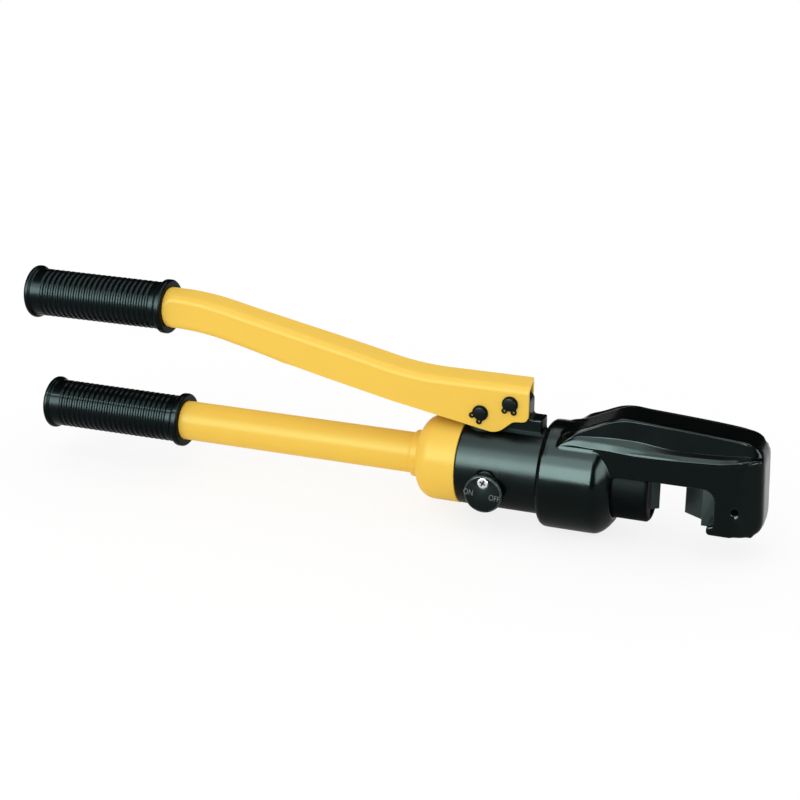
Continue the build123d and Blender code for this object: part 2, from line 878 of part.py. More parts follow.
shoulder_cut = shoulder_r * (1 - cos(radians(45)))
crown_parts = [n / crown_facets for n in range(crown_facets + 1)]
with BuildPart() as head_frame:
    with BuildSketch(Plane.XZ):
        with BuildLine():
            Polyline(
                (head_x, 0),
                (head_x, barrel_r - shoulder_r),
                (head_x + shoulder_cut, barrel_r - shoulder_cut),
                (head_x + shoulder_r, barrel_r),
                *[
                    (barrel_x + crown_length * part, barrel_r - crown_drop * part**2)
                    for part in crown_parts
                ],
                (cone_x, 0),
                close=True,
            )
        make_face()
    revolve(axis=Axis.X)
    with BuildSketch(Plane.XZ):
        with BuildLine():
            FilletPolyline(
                (ramp_foot_at, throat_top),
                (ramp_foot_at, ramp_foot_z),
                (body_x + ramp_bend_x, ramp_bend_z),
                (crest_at, crest_z),
                (nose_at - nose_lean, nose_top_z),
                (nose_at, hook_bottom),
                (lip_x, hook_bottom),
                (lip_x, lip_top),
                (hook_at, lip_top),
                (hook_at, throat_top),
                radius=(
                    0,
                    0,
                    ramp_bend_r,
                    crest_r,
                    nose_r,
                    nose_foot_r,
                    lip_edge_r,
                    lip_edge_r,
                    lip_root_r,
                    throat_r,
                ),
                close=True,
            )
        make_face()
    extrude(amount=frame_half_width, both=True)
    # Ledge on each side of the spine, drafted outwards and fading to a chamfer at the nose
    for side in (-1, 1):
        ledge_ends = (ramp_foot_at, body_x + ledge_end)
        fade_ends = (body_x + ledge_fade, nose_at + nose_cut)
        ledge = [ledge_section(x, side, spine_half_width, ledge_z, 2 * ledge_drop) for x in ledge_ends]
        fade = [ledge_section(x, side, frame_half_width, ledge_fade_z, 0.0) for x in fade_ends]
        loft([*ledge, *fade], ruled=True, mode=Mode.SUBTRACT)
    # Corners of the nose, in plan
    with BuildSketch(Plane.XY.offset(hook_bottom)):
        for side in (-1, 1):
            with BuildLine():
                Polyline(
                    (nose_at - nose_chamfer_length, side * frame_half_width),
                    (nose_at + nose_cut, side * frame_half_width),
                    (nose_at + nose_cut, side * (spine_half_width - ledge_width / 2)),
                    close=True,
                )
            make_face()
    extrude(amount=crest_z - hook_bottom, mode=Mode.SUBTRACT)
    # Socket of the pump body, cylinder bore and guide bore of the ram
    with BuildSketch(cross_plane(head_x)):
        Circle(socket_r)
    extrude(amount=thread_length, mode=Mode.SUBTRACT)
    with BuildSketch(cross_plane(body_front_x)):
        Circle(cylinder_r)
    extrude(amount=cylinder_end_x - body_front_x, mode=Mode.SUBTRACT)
    with BuildSketch(cross_plane(cylinder_end_x)):
        Circle(ram_r + running_gap)
        with Locations((0, throat_top)):
            Rectangle(4 * ram_r, 2 * ram_r, align=(Align.CENTER, Align.MIN), mode=Mode.SUBTRACT)
    extrude(amount=ram_front_x - cylinder_end_x, mode=Mode.SUBTRACT)
    # Notch of the fixed blade in the lip, the bore of its tang and the hole of its screw
    with BuildSketch(Plane.XY.offset(hook_bottom)):
        with Locations((hook_at, 0)):
            Rectangle(
                lip_reach + throat_r, 2 * (blade_half_width + seat_gap), align=(Align.MAX, Align.CENTER)
            )
    extrude(amount=throat_top - hook_bottom, mode=Mode.SUBTRACT)
    with BuildSketch(cross_plane(hook_at, tang_z)):
        Circle(fixed_tang_r + running_gap)
    extrude(amount=fixed_tang_length + free_gap, mode=Mode.SUBTRACT)
    with BuildSketch(near_plane(hook_at + fixed_screw_x, tang_z)):
        Circle(fixed_screw_r + seat_gap)
    extrude(amount=frame_half_width, mode=Mode.SUBTRACT)
save(head_frame.part, "head_frame")

# Ram: a piston with a D shaped rod that carries the moving blade
groove_r = cylinder_r - seal_section
groove_x = ram_rear_x + seal_groove_x
slot_half_width = blade_half_width + seat_gap
moving_screw_x = moving_back_x + moving_base / 2
with BuildPart() as ram:
    with BuildSketch(cross_plane(piston_front_x)):
        Circle(ram_r)
        with Locations((0, ram_flat_z)):
            Rectangle(4 * ram_r, 2 * ram_r, align=(Align.CENTER, Align.MIN), mode=Mode.SUBTRACT)
    extrude(amount=ram_front_x - piston_front_x)
    chamfer(ram.edges().group_by(Axis.X)[-1], length=ram_edge)
    with BuildSketch(cross_plane(ram_rear_x)):
        Circle(cylinder_r - running_gap)
    extrude(amount=piston_length)
    with BuildSketch(cross_plane(groove_x)):
        Circle(cylinder_r)
        Circle(groove_r, mode=Mode.SUBTRACT)
    extrude(amount=seal_section + guide_ring_length, mode=Mode.SUBTRACT)
    with BuildSketch(cross_plane(ram_rear_x)):
        Circle(cavity_r)
    extrude(amount=cavity_length, mode=Mode.SUBTRACT)
    with BuildSketch(Plane.XY.offset(base_bottom - base_gap)):
        with Locations((moving_back_x, 0)):
            Rectangle(
                2 * (ram_front_x - moving_back_x), 2 * slot_half_width, align=(Align.MIN, Align.CENTER)
            )
    extrude(amount=2 * ram_r, mode=Mode.SUBTRACT)
    with BuildSketch(cross_plane(moving_back_x, tang_z)):
        Circle(moving_tang_r + running_gap)
    extrude(amount=-moving_tang_length - free_gap, mode=Mode.SUBTRACT)
    with BuildSketch(Plane.XY.offset(-ram_r)):
        with Locations((moving_screw_x, 0)):
            Circle(moving_screw_r + seat_gap)
    extrude(amount=ram_r + base_bottom, mode=Mode.SUBTRACT)
save(ram.part, "ram")

seal_r = cylinder_r - running_gap
guide_x = groove_x + seal_section
save(ring(cross_plane(groove_x), seal_r, groove_r + running_gap, seal_section), "piston_seal")
save(ring(cross_plane(guide_x), seal_r, groove_r + running_gap, guide_ring_length), "piston_guide_ring")

# Return spring, between a retainer in the ram and the head of a rod in the pump body
retainer_front_x = ram_rear_x + retainer_length
rod_head_x = body_front_x + rod_reach
retainer = ring(cross_plane(ram_rear_x), cavity_r - seat_gap, rod_r + free_gap, retainer_length)
save(retainer, "spring_retainer")
with BuildPart() as spring_rod:
    with BuildSketch(cross_plane(body_front_x - rod_thread_length)):
        Circle(rod_r)
    extrude(amount=rod_thread_length + rod_reach)
    with BuildSketch(cross_plane(rod_head_x)):
        Circle(rod_head_r)
    extrude(amount=rod_head_length)
save(spring_rod.part, "spring_rod")
return_length = rod_head_x - retainer_front_x
save(
    spring(cross_plane(retainer_front_x), return_spring_r, return_wire, return_length, return_turns),
    "return_spring",
)


def blade(tip_x, facing, base, tang_r, tang_length):
    """A wedge blade with an upright edge, a square base and a round tang behind it."""
    root_x = tip_x - facing * bevel_length
    back_x = root_x - facing * base
    with BuildPart() as wedge:
        with BuildSketch(Plane.XY.offset(edge_bottom)):
            with BuildLine():
                Polyline((root_x, blade_half_width), (tip_x, 0), (root_x, -blade_half_width), close=True)
            make_face()
        extrude(amount=blade_top - edge_bottom)
        with BuildSketch(Plane.XY.offset(base_bottom)):
            with Locations(((root_x + back_x) / 2, 0)):
                Rectangle(base, 2 * blade_half_width)
        extrude(amount=blade_top - base_bottom)
        with BuildSketch(cross_plane(back_x, tang_z)):
            Circle(tang_r)
        extrude(amount=-facing * tang_length)
    return wedge.part


save(blade(fixed_tip_x, -1, fixed_base, fixed_tang_r, fixed_tang_length), "fixed_blade")
save(blade(moving_tip_x, 1, moving_base, moving_tang_r, moving_tang_length), "moving_blade")

fixed_screw_plane = near_plane(hook_at + fixed_screw_x, tang_z, -fixed_tang_r - seat_gap)
fixed_screw_length = frame_half_width - fixed_screw_recess - fixed_tang_r - seat_gap
save(bar(fixed_screw_plane, fixed_screw_r, fixed_screw_length), "fixed_blade_screw")

moving_screw_plane = Plane(origin=(moving_screw_x, 0, moving_screw_recess - ram_r))
moving_screw_length = ram_r - moving_screw_recess + base_bottom - seat_gap
save(bar(moving_screw_plane, moving_screw_r, moving_screw_length), "moving_blade_screw")
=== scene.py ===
"""Looks of a hand pumped hydraulic rebar cutter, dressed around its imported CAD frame."""

import json
import logging
import math
from dataclasses import dataclass
from enum import Enum
from typing import Sequence

import bmesh
import bpy
from mathutils import Matrix, Vector
from mathutils.bvhtree import BVHTree


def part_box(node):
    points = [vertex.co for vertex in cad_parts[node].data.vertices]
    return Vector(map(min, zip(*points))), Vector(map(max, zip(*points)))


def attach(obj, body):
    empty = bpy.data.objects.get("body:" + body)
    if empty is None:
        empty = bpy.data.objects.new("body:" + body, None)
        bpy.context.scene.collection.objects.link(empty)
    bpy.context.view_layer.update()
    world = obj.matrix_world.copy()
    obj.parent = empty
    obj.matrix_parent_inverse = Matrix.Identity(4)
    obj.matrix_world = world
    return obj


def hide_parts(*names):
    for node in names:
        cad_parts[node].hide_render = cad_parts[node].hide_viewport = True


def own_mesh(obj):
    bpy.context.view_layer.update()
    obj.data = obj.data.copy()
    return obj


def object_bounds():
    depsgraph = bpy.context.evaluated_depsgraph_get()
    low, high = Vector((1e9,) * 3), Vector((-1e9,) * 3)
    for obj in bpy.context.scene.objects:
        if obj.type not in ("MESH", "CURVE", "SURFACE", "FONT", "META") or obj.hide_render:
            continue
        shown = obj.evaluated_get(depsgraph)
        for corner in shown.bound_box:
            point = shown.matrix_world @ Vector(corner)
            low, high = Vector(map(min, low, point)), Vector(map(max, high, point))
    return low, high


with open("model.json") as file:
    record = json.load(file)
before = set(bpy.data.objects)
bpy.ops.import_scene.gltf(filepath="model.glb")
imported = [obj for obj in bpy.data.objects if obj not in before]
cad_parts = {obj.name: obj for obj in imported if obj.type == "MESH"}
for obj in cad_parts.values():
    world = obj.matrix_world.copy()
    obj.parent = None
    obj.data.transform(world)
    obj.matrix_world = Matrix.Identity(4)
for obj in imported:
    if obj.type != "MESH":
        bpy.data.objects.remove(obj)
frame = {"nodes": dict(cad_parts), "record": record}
CAD_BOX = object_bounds()

LOG = logging.getLogger("rebar_cutter")
MM = 0.001
# Layer that marks rounded edges for a lighter colour: wear, and on the knob's rim a painted highlight.
WEAR_AND_HIGHLIGHT_LAYER = "edge_wear_and_highlight"
GRIME_LAYER = "corner_grime"
# Points closer together than this become one.
MERGE = 0.002 * MM
# The handle, the collar, the barrel and the ram are turned about a line along X through this point.
ORIGIN = Vector((0.0, 0.0, 0.0))
# Angles in degrees: an edge above the first stays sharp, and faces within the second count as flat.
SHARP_ANGLE = 40.0
FLAT_ANGLE = 0.5
# Parts of the noise that show as specks and as lighter patches on rounded edges; these patches are wear,
# and on the knob's rim a painted highlight.
SPECK_RANGE = (0.62, 0.78)
WEAR_AND_HIGHLIGHT_RANGE = (0.3, 0.75)


class Body(str, Enum):
    """Bodies of the tool that pieces ride on."""

    FRAME = "frame"
    LEVER = "pump_lever"
    PLUNGER = "plunger"
    RAM = "ram"
    RELEASE = "release_valve"


class Slot(str, Enum):
    """Material slots of the record."""

    YELLOW = "yellow_paint"
    BLACK = "black_paint"
    DARK = "dark_steel"
    GRIP = "grip_rubber"
    ZINC = "zinc_steel"
    STEEL = "plain_steel"
    SEAL = "seal_rubber"
    BRASS = "filter_brass"
    ALUMINIUM = "plain_aluminium"


class Grain(Enum):
    """How the fine grain of a surface runs."""

    EVEN = (1.0, 1.0, 1.0)
    TURNED = (6.0, 0.35, 0.35)
    DRAWN = (0.15, 4.0, 4.0)


class NodeTree:
    """A short hand for building shader nodes."""

    def __init__(self, tree: bpy.types.NodeTree) -> None:
        """Keep the tree that the nodes go into.

        Args:
            tree: A material's, a world's or a group's node tree.
        """
        self.tree = tree

    def add(self, kind: str, group: bpy.types.NodeTree | None = None, **sockets: object) -> bpy.types.Node:
        """Add a node and set its input sockets.

        Args:
            kind: Type of the node.
            group: Group that a group node shows.
            **sockets: Input values by socket name, with spaces written as underscores.

        Returns:
            The new node.
        """
        node = self.tree.nodes.new(kind)
        if group is not None:
            node.node_tree = group
        for name, value in sockets.items():
            self.put(node, name.replace("_", " "), value)
        return node

    def put(self, node: bpy.types.Node, name: str | int, value: object) -> None:
        """Set an input socket to a value, or link an output socket to it.

        Args:
            node: Node whose input is set.
            name: Name or number of the input socket.
            value: A number, colour or vector, or another node's output socket.
        """
        if isinstance(value, bpy.types.NodeSocket):
            self.tree.links.new(value, node.inputs[name])
        else:
            node.inputs[name].default_value = value

    def math(self, operation: str, first: object, second: object) -> bpy.types.NodeSocket:
        """Add a math node.

        Args:
            operation: Name of the operation.
            first: First value or socket.
            second: Second value or socket.

        Returns:
            The output socket.
        """
        node = self.tree.nodes.new("ShaderNodeMath")
        node.operation = operation
        self.put(node, 0, first)
        self.put(node, 1, second)
        return node.outputs[0]

    def blend(self, factor: object, first: object, second: object) -> bpy.types.NodeSocket:
        """Add a colour mix.

        Args:
            factor: Share of the second colour, or its socket.
            first: First colour or socket.
            second: Second colour or socket.

        Returns:
            The mixed colour.
        """
        node = self.tree.nodes.new("ShaderNodeMix")
        node.data_type = "RGBA"
        # The node has a set of sockets for each type of data. These are the ones for colours.
        for index, value in ((0, factor), (6, first), (7, second)):
            self.put(node, index, value)
        return node.outputs[2]

    def span(
        self, value: object, low: object, high: object, start: float = 0.0, end: float = 1.0
    ) -> bpy.types.NodeSocket:
        """Map a range of a value onto another range, and hold it there.

        Args:
            value: Socket of the value.
            low: Result at the start, or its socket.
            high: Result at the end, or its socket.
            start: Where the value's range starts.
            end: Where it ends.

        Returns:
            The mapped value.
        """
        limits = {"From_Min": start, "From_Max": end, "To_Min": low, "To_Max": high}
        return self.add("ShaderNodeMapRange", Value=value, **limits).outputs[0]

    def noise(self, place: object, scale: object, detail: float) -> bpy.types.NodeSocket:
        """Add a noise pattern."""
        return self.add("ShaderNodeTexNoise", Vector=place, Scale=scale, Detail=detail).outputs[0]

    def layer(self, name: str) -> bpy.types.NodeSocket:
        """Read a layer of a piece's mesh.

        Args:
            name: Name of the layer.

        Returns:
            Its value.
        """
        node = self.tree.nodes.new("ShaderNodeAttribute")
        node.attribute_name = name
        return node.outputs["Fac"]


def bare_material(name: str) -> tuple[bpy.types.Material, NodeTree]:
    """Start a material without nodes.

    Args:
        name: Name of the material.

    Returns:
        The material, and the short hand for its nodes.
    """
    material = bpy.data.materials.new(name)
    material.use_nodes = True
    material.node_tree.nodes.clear()
    return material, NodeTree(material.node_tree)


def group_tree(name: str, inputs: Sequence[str], outputs: Sequence[str]) -> bpy.types.NodeTree:
    """Start a shader node group with named sockets.

    Args:
        name: Name of the group.
        inputs: Names of the inputs, which are values, apart from one called Vector.
        outputs: Names of the value outputs.

    Returns:
        The new group.
    """
    tree = bpy.data.node_groups.new(name, "ShaderNodeTree")
    for label in inputs:
        kind = "NodeSocketVector" if label == "Vector" else "NodeSocketFloat"
        tree.interface.new_socket(label, in_out="INPUT", socket_type=kind)
    for label in outputs:
        tree.interface.new_socket(label, in_out="OUTPUT", socket_type="NodeSocketFloat")
    return tree


def skin_group() -> bpy.types.NodeTree:
    """Build the group for the skin of a coat: a soft waviness, a fine grain and a slow mottle.

    Returns:
        The group, with Height, Mottle and Speck outputs.
    """
    scales = ("Wave Scale", "Grain Scale", "Mottle Scale")
    tree = group_tree("coat_skin", ("Vector", *scales, "Grain Share"), ("Height", "Mottle", "Speck"))
    nodes = NodeTree(tree)
    source = nodes.add("NodeGroupInput").outputs
    details = (1.0, 3.0, 5.0)
    wave, grain, mottle = [
        nodes.noise(source["Vector"], source[scale], detail) for scale, detail in zip(scales, details)
    ]
    height = nodes.math("ADD", wave, nodes.math("MULTIPLY", grain, source["Grain Share"]))
    speck = nodes.span(grain, 0.0, 1.0, *SPECK_RANGE)
    nodes.add("NodeGroupOutput", Height=height, Mottle=mottle, Speck=speck)
    return tree


def wear_and_highlight_group() -> bpy.types.NodeTree:
    """Build the group for lighter rounded edges: wear, and on the knob's rim a painted highlight.

    Returns:
        The group, with a Mask output.
    """
    tree = group_tree("wear_and_highlight_edges", ("Vector", "Patch Scale", "Amount"), ("Mask",))
    nodes = NodeTree(tree)
    source = nodes.add("NodeGroupInput").outputs
    patch = nodes.noise(source["Vector"], source["Patch Scale"], detail=4.0)
    wear_and_highlight_patches = nodes.span(patch, 0.0, 1.0, *WEAR_AND_HIGHLIGHT_RANGE)
    mask = nodes.math("MULTIPLY", nodes.layer(WEAR_AND_HIGHLIGHT_LAYER), wear_and_highlight_patches)
    nodes.add("NodeGroupOutput", Mask=nodes.math("MULTIPLY", mask, source["Amount"]))
    return tree


def grime_group() -> bpy.types.NodeTree:
    """Build the group for the dull dirt that settles in inner corners.

    Returns:
        The group, with a Mask output.
    """
    tree = group_tree("settled_grime", ("Amount",), ("Mask",))
    nodes = NodeTree(tree)
    amount = nodes.add("NodeGroupInput").outputs["Amount"]
    nodes.add("NodeGroupOutput", Mask=nodes.math("MULTIPLY", nodes.layer(GRIME_LAYER), amount))
    return tree


class Groups:
    """The shader node groups that the finishes share."""

    def __init__(self) -> None:
        """Build each group once."""
        self.skin = skin_group()
        self.rub = wear_and_highlight_group()
        self.grime = grime_group()


@dataclass(frozen=True)
class Finish:
    """A surface finish, with its sizes in millimetres."""

    name: str
    slot: Slot
    colour: tuple[float, float, float]
    roughness: float
    metallic: float = 0.0
    specular: float = 0.5
    gloss_tint: tuple[float, float, float] = (1.0, 1.0, 1.0)
    wave: float = 2.0
    grain: float = 0.3
    grain_share: float = 0.3
    mottle: float = 25.0
    depth: float = 0.02
    shade: float = 0.06
    gloss_spread: float = 0.05
    # Lighter colour of rounded edges: wear, and on the knob's rim a painted highlight.
    wear_and_highlight_colour: tuple[float, float, float] = (0.2, 0.2, 0.2)
    rub: float = 0.0
    wear_and_highlight_patch: float = 14.0
    speck: float = 0.0
    speck_tint: float = 1.6
    grime: float = 0.0
    grime_roughness: float = 0.85
    direction: Grain = Grain.EVEN

    def tint(self, factor: float) -> tuple[float, float, float, float]:
        """The colour, made lighter or darker by a factor."""
        return (*[min(channel * factor, 1.0) for channel in self.colour], 1.0)

    def material(self, groups: Groups) -> bpy.types.Material:
        """Build the procedural material.

        Args:
            groups: The shared node groups.

        Returns:
            The material.
        """
        material, nodes = bare_material(self.name)
        place = nodes.add("ShaderNodeTexCoord").outputs["Object"]
        turned = nodes.add("ShaderNodeMapping", Vector=place, Scale=self.direction.value).outputs[0]
        skin = nodes.add(
            "ShaderNodeGroup",
            groups.skin,
            Vector=turned,
            Wave_Scale=1.0 / (self.wave * MM),
            Grain_Scale=1.0 / (self.grain * MM),
            Mottle_Scale=1.0 / (self.mottle * MM),
            Grain_Share=self.grain_share,
        ).outputs
        patches = 1.0 / (self.wear_and_highlight_patch * MM)
        rub = nodes.add("ShaderNodeGroup", groups.rub, Vector=place, Patch_Scale=patches, Amount=self.rub)
        dirt = nodes.add("ShaderNodeGroup", groups.grime, Amount=self.grime)
        plain = nodes.blend(skin["Mottle"], self.tint(1.0 - self.shade), self.tint(1.0 + self.shade))
        specks = nodes.math("MULTIPLY", skin["Speck"], self.speck)
        specked = nodes.blend(specks, plain, self.tint(self.speck_tint))
        colour = nodes.blend(rub.outputs["Mask"], specked, (*self.wear_and_highlight_colour, 1.0))
        low, high = self.roughness - self.gloss_spread, self.roughness + self.gloss_spread
        clean = nodes.span(skin["Mottle"], low, high)
        roughness = nodes.span(dirt.outputs["Mask"], clean, self.grime_roughness)
        bump = nodes.add("ShaderNodeBump", Strength=1.0, Distance=self.depth * MM, Height=skin["Height"])
        shader = nodes.add(
            "ShaderNodeBsdfPrincipled",
            Base_Color=colour,
            Roughness=roughness,
            Metallic=self.metallic,
            Specular_IOR_Level=self.specular,
            Specular_Tint=(*self.gloss_tint, 1.0),
            Normal=bump.outputs[0],
        )
        nodes.add("ShaderNodeOutputMaterial", Surface=shader.outputs[0])
        return material


TEAL_GLOSS = (0.7, 1.0, 0.95)
PAINT_BLACK = (0.0008, 0.0013, 0.0013)
PAINT_RUB = (0.006, 0.009, 0.009)
STEEL_RUB = (0.012, 0.015, 0.015)


class Coat(Enum):
    """Finishes of the tool. The first one of a slot is also the finish of that slot's CAD nodes."""

    YELLOW_PAINT = Finish(
        "yellow_powder_coat", Slot.YELLOW, (0.87, 0.56, 0.088), 0.3, specular=0.05,
        gloss_tint=(0.5, 1.0, 0.55), wave=3.5, depth=0.012, grain=0.5, grain_share=0.08, shade=0.015,
        wear_and_highlight_colour=(0.9, 0.62, 0.16), rub=0.3,
    )
    CAST_PAINT = Finish(
        "black_cast_paint", Slot.BLACK, PAINT_BLACK, 0.19, specular=0.1, gloss_tint=TEAL_GLOSS,
        wave=9.0, grain=0.7, grain_share=0.05, depth=0.03, shade=0.2, wear_and_highlight_colour=PAINT_RUB,
        rub=0.5, speck=0.3,
    )
    TURNED_PAINT = Finish(
        "black_turned_paint", Slot.BLACK, PAINT_BLACK, 0.28, specular=0.1, gloss_tint=TEAL_GLOSS,
        wave=5.0, grain=0.6, grain_share=0.2, depth=0.012, shade=0.2, wear_and_highlight_colour=PAINT_RUB,
        rub=0.5, grime=1.0, direction=Grain.TURNED,
    )
    # The knob's rounded rim is painted a much lighter teal grey in small patches: a painted highlight as
    # well as wear.
    KNOB_PAINT = Finish(
        "black_knob_paint", Slot.BLACK, (0.0012, 0.002, 0.002), 0.35, specular=0.1, gloss_tint=TEAL_GLOSS,
        wave=3.0, grain=0.5, depth=0.01, shade=0.2, wear_and_highlight_colour=(0.11, 0.135, 0.135), rub=1.0,
        wear_and_highlight_patch=5.0,
    )
    BLACKENED_STEEL = Finish(
        "blackened_steel", Slot.DARK, (0.001, 0.0014, 0.0014), 0.3, specular=0.1, gloss_tint=TEAL_GLOSS,
        wave=2.0, grain=0.3, depth=0.008, shade=0.25, wear_and_highlight_colour=STEEL_RUB, rub=0.5,
        direction=Grain.TURNED,
    )
    BLADE_STEEL = Finish(
        "blade_steel", Slot.DARK, (0.016, 0.023, 0.0225), 0.34, specular=0.3, gloss_tint=TEAL_GLOSS,
        wave=1.5, grain=0.25, depth=0.006, shade=0.15, wear_and_highlight_colour=(0.12, 0.14, 0.14), rub=0.4,
    )
    RAM_STEEL = Finish(
        "phosphated_ram", Slot.DARK, (0.0015, 0.0022, 0.0022), 0.5, specular=0.02, gloss_tint=TEAL_GLOSS,
        wave=2.0, grain=0.4, depth=0.01, shade=0.25, wear_and_highlight_colour=STEEL_RUB, rub=0.6,
        direction=Grain.DRAWN,
    )
    GRIP_RUBBER = Finish(
        "grip_rubber", Slot.GRIP, (0.001, 0.0015, 0.0017), 0.29, specular=0.06,
        gloss_tint=(0.66, 1.0, 0.99), wave=2.5, grain=0.6, depth=0.03, shade=0.2, speck=0.3,
    )
    ZINC_PLATE = Finish(
        "zinc_plate", Slot.ZINC, (0.46, 0.48, 0.485), 0.3, metallic=1.0, wave=0.8, grain=0.15,
        depth=0.006, shade=0.05,
    )
    MARKING = Finish(
        "marking_grey", Slot.ZINC, (0.1, 0.12, 0.12), 0.5, specular=0.2, wave=0.6, grain=0.12,
        depth=0.004, shade=0.3,
    )
    GROUND_STEEL = Finish(
        "ground_steel", Slot.STEEL, (0.55, 0.56, 0.58), 0.33, metallic=1.0, wave=0.9, grain=0.2,
        depth=0.008, direction=Grain.TURNED,
    )
    SEAL_RUBBER = Finish("seal_rubber", Slot.SEAL, (0.015, 0.015, 0.016), 0.55, specular=0.35, shade=0.2)
    FILTER_BRASS = Finish("filter_brass", Slot.BRASS, (0.72, 0.5, 0.21), 0.38, metallic=1.0, grain=0.2)
    TURNED_ALUMINIUM = Finish(
        "turned_aluminium", Slot.ALUMINIUM, (0.68, 0.69, 0.7), 0.36, metallic=1.0, direction=Grain.TURNED
    )


@dataclass(frozen=True)
class Corner:
    """A corner of an outline, in millimetres, rounded by a radius."""

    x: float
    y: float
    radius: float = 0.0

    @property
    def place(self) -> Vector:
        """The corner's place as a vector."""
        return Vector((self.x, self.y))


def rounded(corners: Sequence[Corner], steps: int = 8) -> list[Vector]:
    """Follow an open outline, with an arc at each rounded corner.

    Args:
        corners: Corners in order. The first and last aren't rounded.
        steps: Pieces in each arc.

    Returns:
        Points of the outline, in millimetres.
    """
    points = [corners[0].place]
    for before, here, after in zip(corners, corners[1:], corners[2:]):
        if here.radius == 0.0:
            points.append(here.place)
            continue
        back = (before.place - here.place).normalized()
        ahead = (after.place - here.place).normalized()
        half = back.angle(ahead) / 2
        middle = here.place + (back + ahead).normalized() * here.radius / math.sin(half)
        start = here.place + back * here.radius / math.tan(half) - middle
        turn = math.pi - 2 * half
        if back.cross(ahead) > 0:
            turn = -turn
        for n in range(steps + 1):
            points.append(middle + Matrix.Rotation(turn * n / steps, 2) @ start)
    points.append(corners[-1].place)
    return points


def sew(mesh: bmesh.types.BMesh) -> None:
    """Merge a mesh's double points and turn its faces outwards."""
    bmesh.ops.remove_doubles(mesh, verts=mesh.verts, dist=MERGE)
    bmesh.ops.recalc_face_normals(mesh, faces=mesh.faces)


def turned(points: Sequence[Vector], centre: Vector, segments: int) -> bmesh.types.BMesh:
    """Spin an outline about an axis along X.

    Args:
        points: Place along X and radius of each point of the outline, in millimetres.
        centre: A point on the axis, in millimetres.
        segments: Steps of the spin.

    Returns:
        The spun mesh, with its faces pointing outwards.
    """
    mesh = bmesh.new()
    axis_point = centre * MM
    verts = [mesh.verts.new(axis_point + Vector((p.x, 0.0, p.y)) * MM) for p in points]
    edges = [mesh.edges.new(pair) for pair in zip(verts, verts[1:])]
    bmesh.ops.spin(
        mesh,
        geom=verts + edges,
        cent=axis_point,
        axis=(1, 0, 0),
        angle=2 * math.pi,
        steps=segments,
        use_merge=True,
    )
    sew(mesh)
    return mesh


def lofted(sections: Sequence[Sequence[Vector]]) -> bmesh.types.BMesh:
    """Bridge closed cross sections into a solid.

    Args:
        sections: Points of each section, in millimetres.

    Returns:
        The closed mesh.
    """
    mesh = bmesh.new()
    loops = []
    for section in sections:
        verts = [mesh.verts.new(point * MM) for point in section]
        loops.append([mesh.edges.new(pair) for pair in zip(verts, verts[1:] + verts[:1])])
    for first, second in zip(loops, loops[1:]):
        bmesh.ops.bridge_loops(mesh, edges=first + second)
    bmesh.ops.holes_fill(mesh, edges=loops[0] + loops[-1], sides=0)
    bmesh.ops.recalc_face_normals(mesh, faces=mesh.faces)
    return mesh


def node_box(node: str) -> tuple[Vector, Vector]:
    """Lowest and highest corner of a CAD node at rest, in millimetres."""
    low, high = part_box(node)
    return Vector(low) / MM, Vector(high) / MM


def placed(name: str, data: bpy.types.ID) -> bpy.types.Object:
    """Put a new object into the scene.

    Args:
        name: Name of the object.
        data: Its mesh, text, lamp or camera.

    Returns:
        The object, at the origin.
    """
    piece = bpy.data.objects.new(name, data)
    bpy.context.scene.collection.objects.link(piece)
    return piece


def new_object(name: str, mesh: bmesh.types.BMesh, sharp: float = SHARP_ANGLE) -> bpy.types.Object:
    """Make a smooth shaded object from a mesh.

    Args:
        name: Name of the piece.
        mesh: Its mesh, which is freed.
        sharp: Angle in degrees above which an edge stays sharp.

    Returns:
        The new object, at the origin.
    """
    data = bpy.data.meshes.new(name)
    mesh.to_mesh(data)
    mesh.free()
    data.shade_smooth()
    data.set_sharp_from_angle(angle=math.radians(sharp))
    return placed(name, data)


def opened(data: bpy.types.Mesh) -> bmesh.types.BMesh:
    """Open a mesh for work on it.

    Args:
        data: The mesh of an object.

    Returns:
        A working copy.
    """
    mesh = bmesh.new()
    mesh.from_mesh(data)
    return mesh


def evaluated(piece: bpy.types.Object) -> bpy.types.Mesh:
    """Make a mesh of what an object's text or modifiers show.

    Args:
        piece: The object.

    Returns:
        The new mesh.
    """
    bpy.context.view_layer.update()
    graph = bpy.context.evaluated_depsgraph_get()
    return bpy.data.meshes.new_from_object(piece.evaluated_get(graph))


def bake_modifiers(piece: bpy.types.Object) -> None:
    """Turn what a piece's modifiers make into its own mesh.

    Args:
        piece: The piece, which keeps no modifiers.
    """
    data = evaluated(piece)
    piece.modifiers.clear()
    piece.data = data


def cut_out(piece: bpy.types.Object, cutter: bmesh.types.BMesh) -> None:
    """Cut a shape out of a piece for good.

    Args:
        piece: The piece that is cut.
        cutter: The shape that is taken away, which is freed.
    """
    tool = new_object("cutter", cutter)
    cut = piece.modifiers.new("cut", "BOOLEAN")
    cut.operation = "DIFFERENCE"
    cut.solver = "EXACT"
    cut.use_self = True
    cut.object = tool
    bake_modifiers(piece)
    piece.data.set_sharp_from_angle(angle=math.radians(SHARP_ANGLE))
    bpy.data.objects.remove(tool)


def merged_copy(node: str) -> bmesh.types.BMesh:
    """Copy a CAD node's mesh and join its loose triangles.

    Args:
        node: Name of the node.

    Returns:
        The copy.
    """
    mesh = opened(frame["nodes"][node].data)
    bmesh.ops.remove_doubles(mesh, verts=mesh.verts, dist=MERGE)
    return mesh


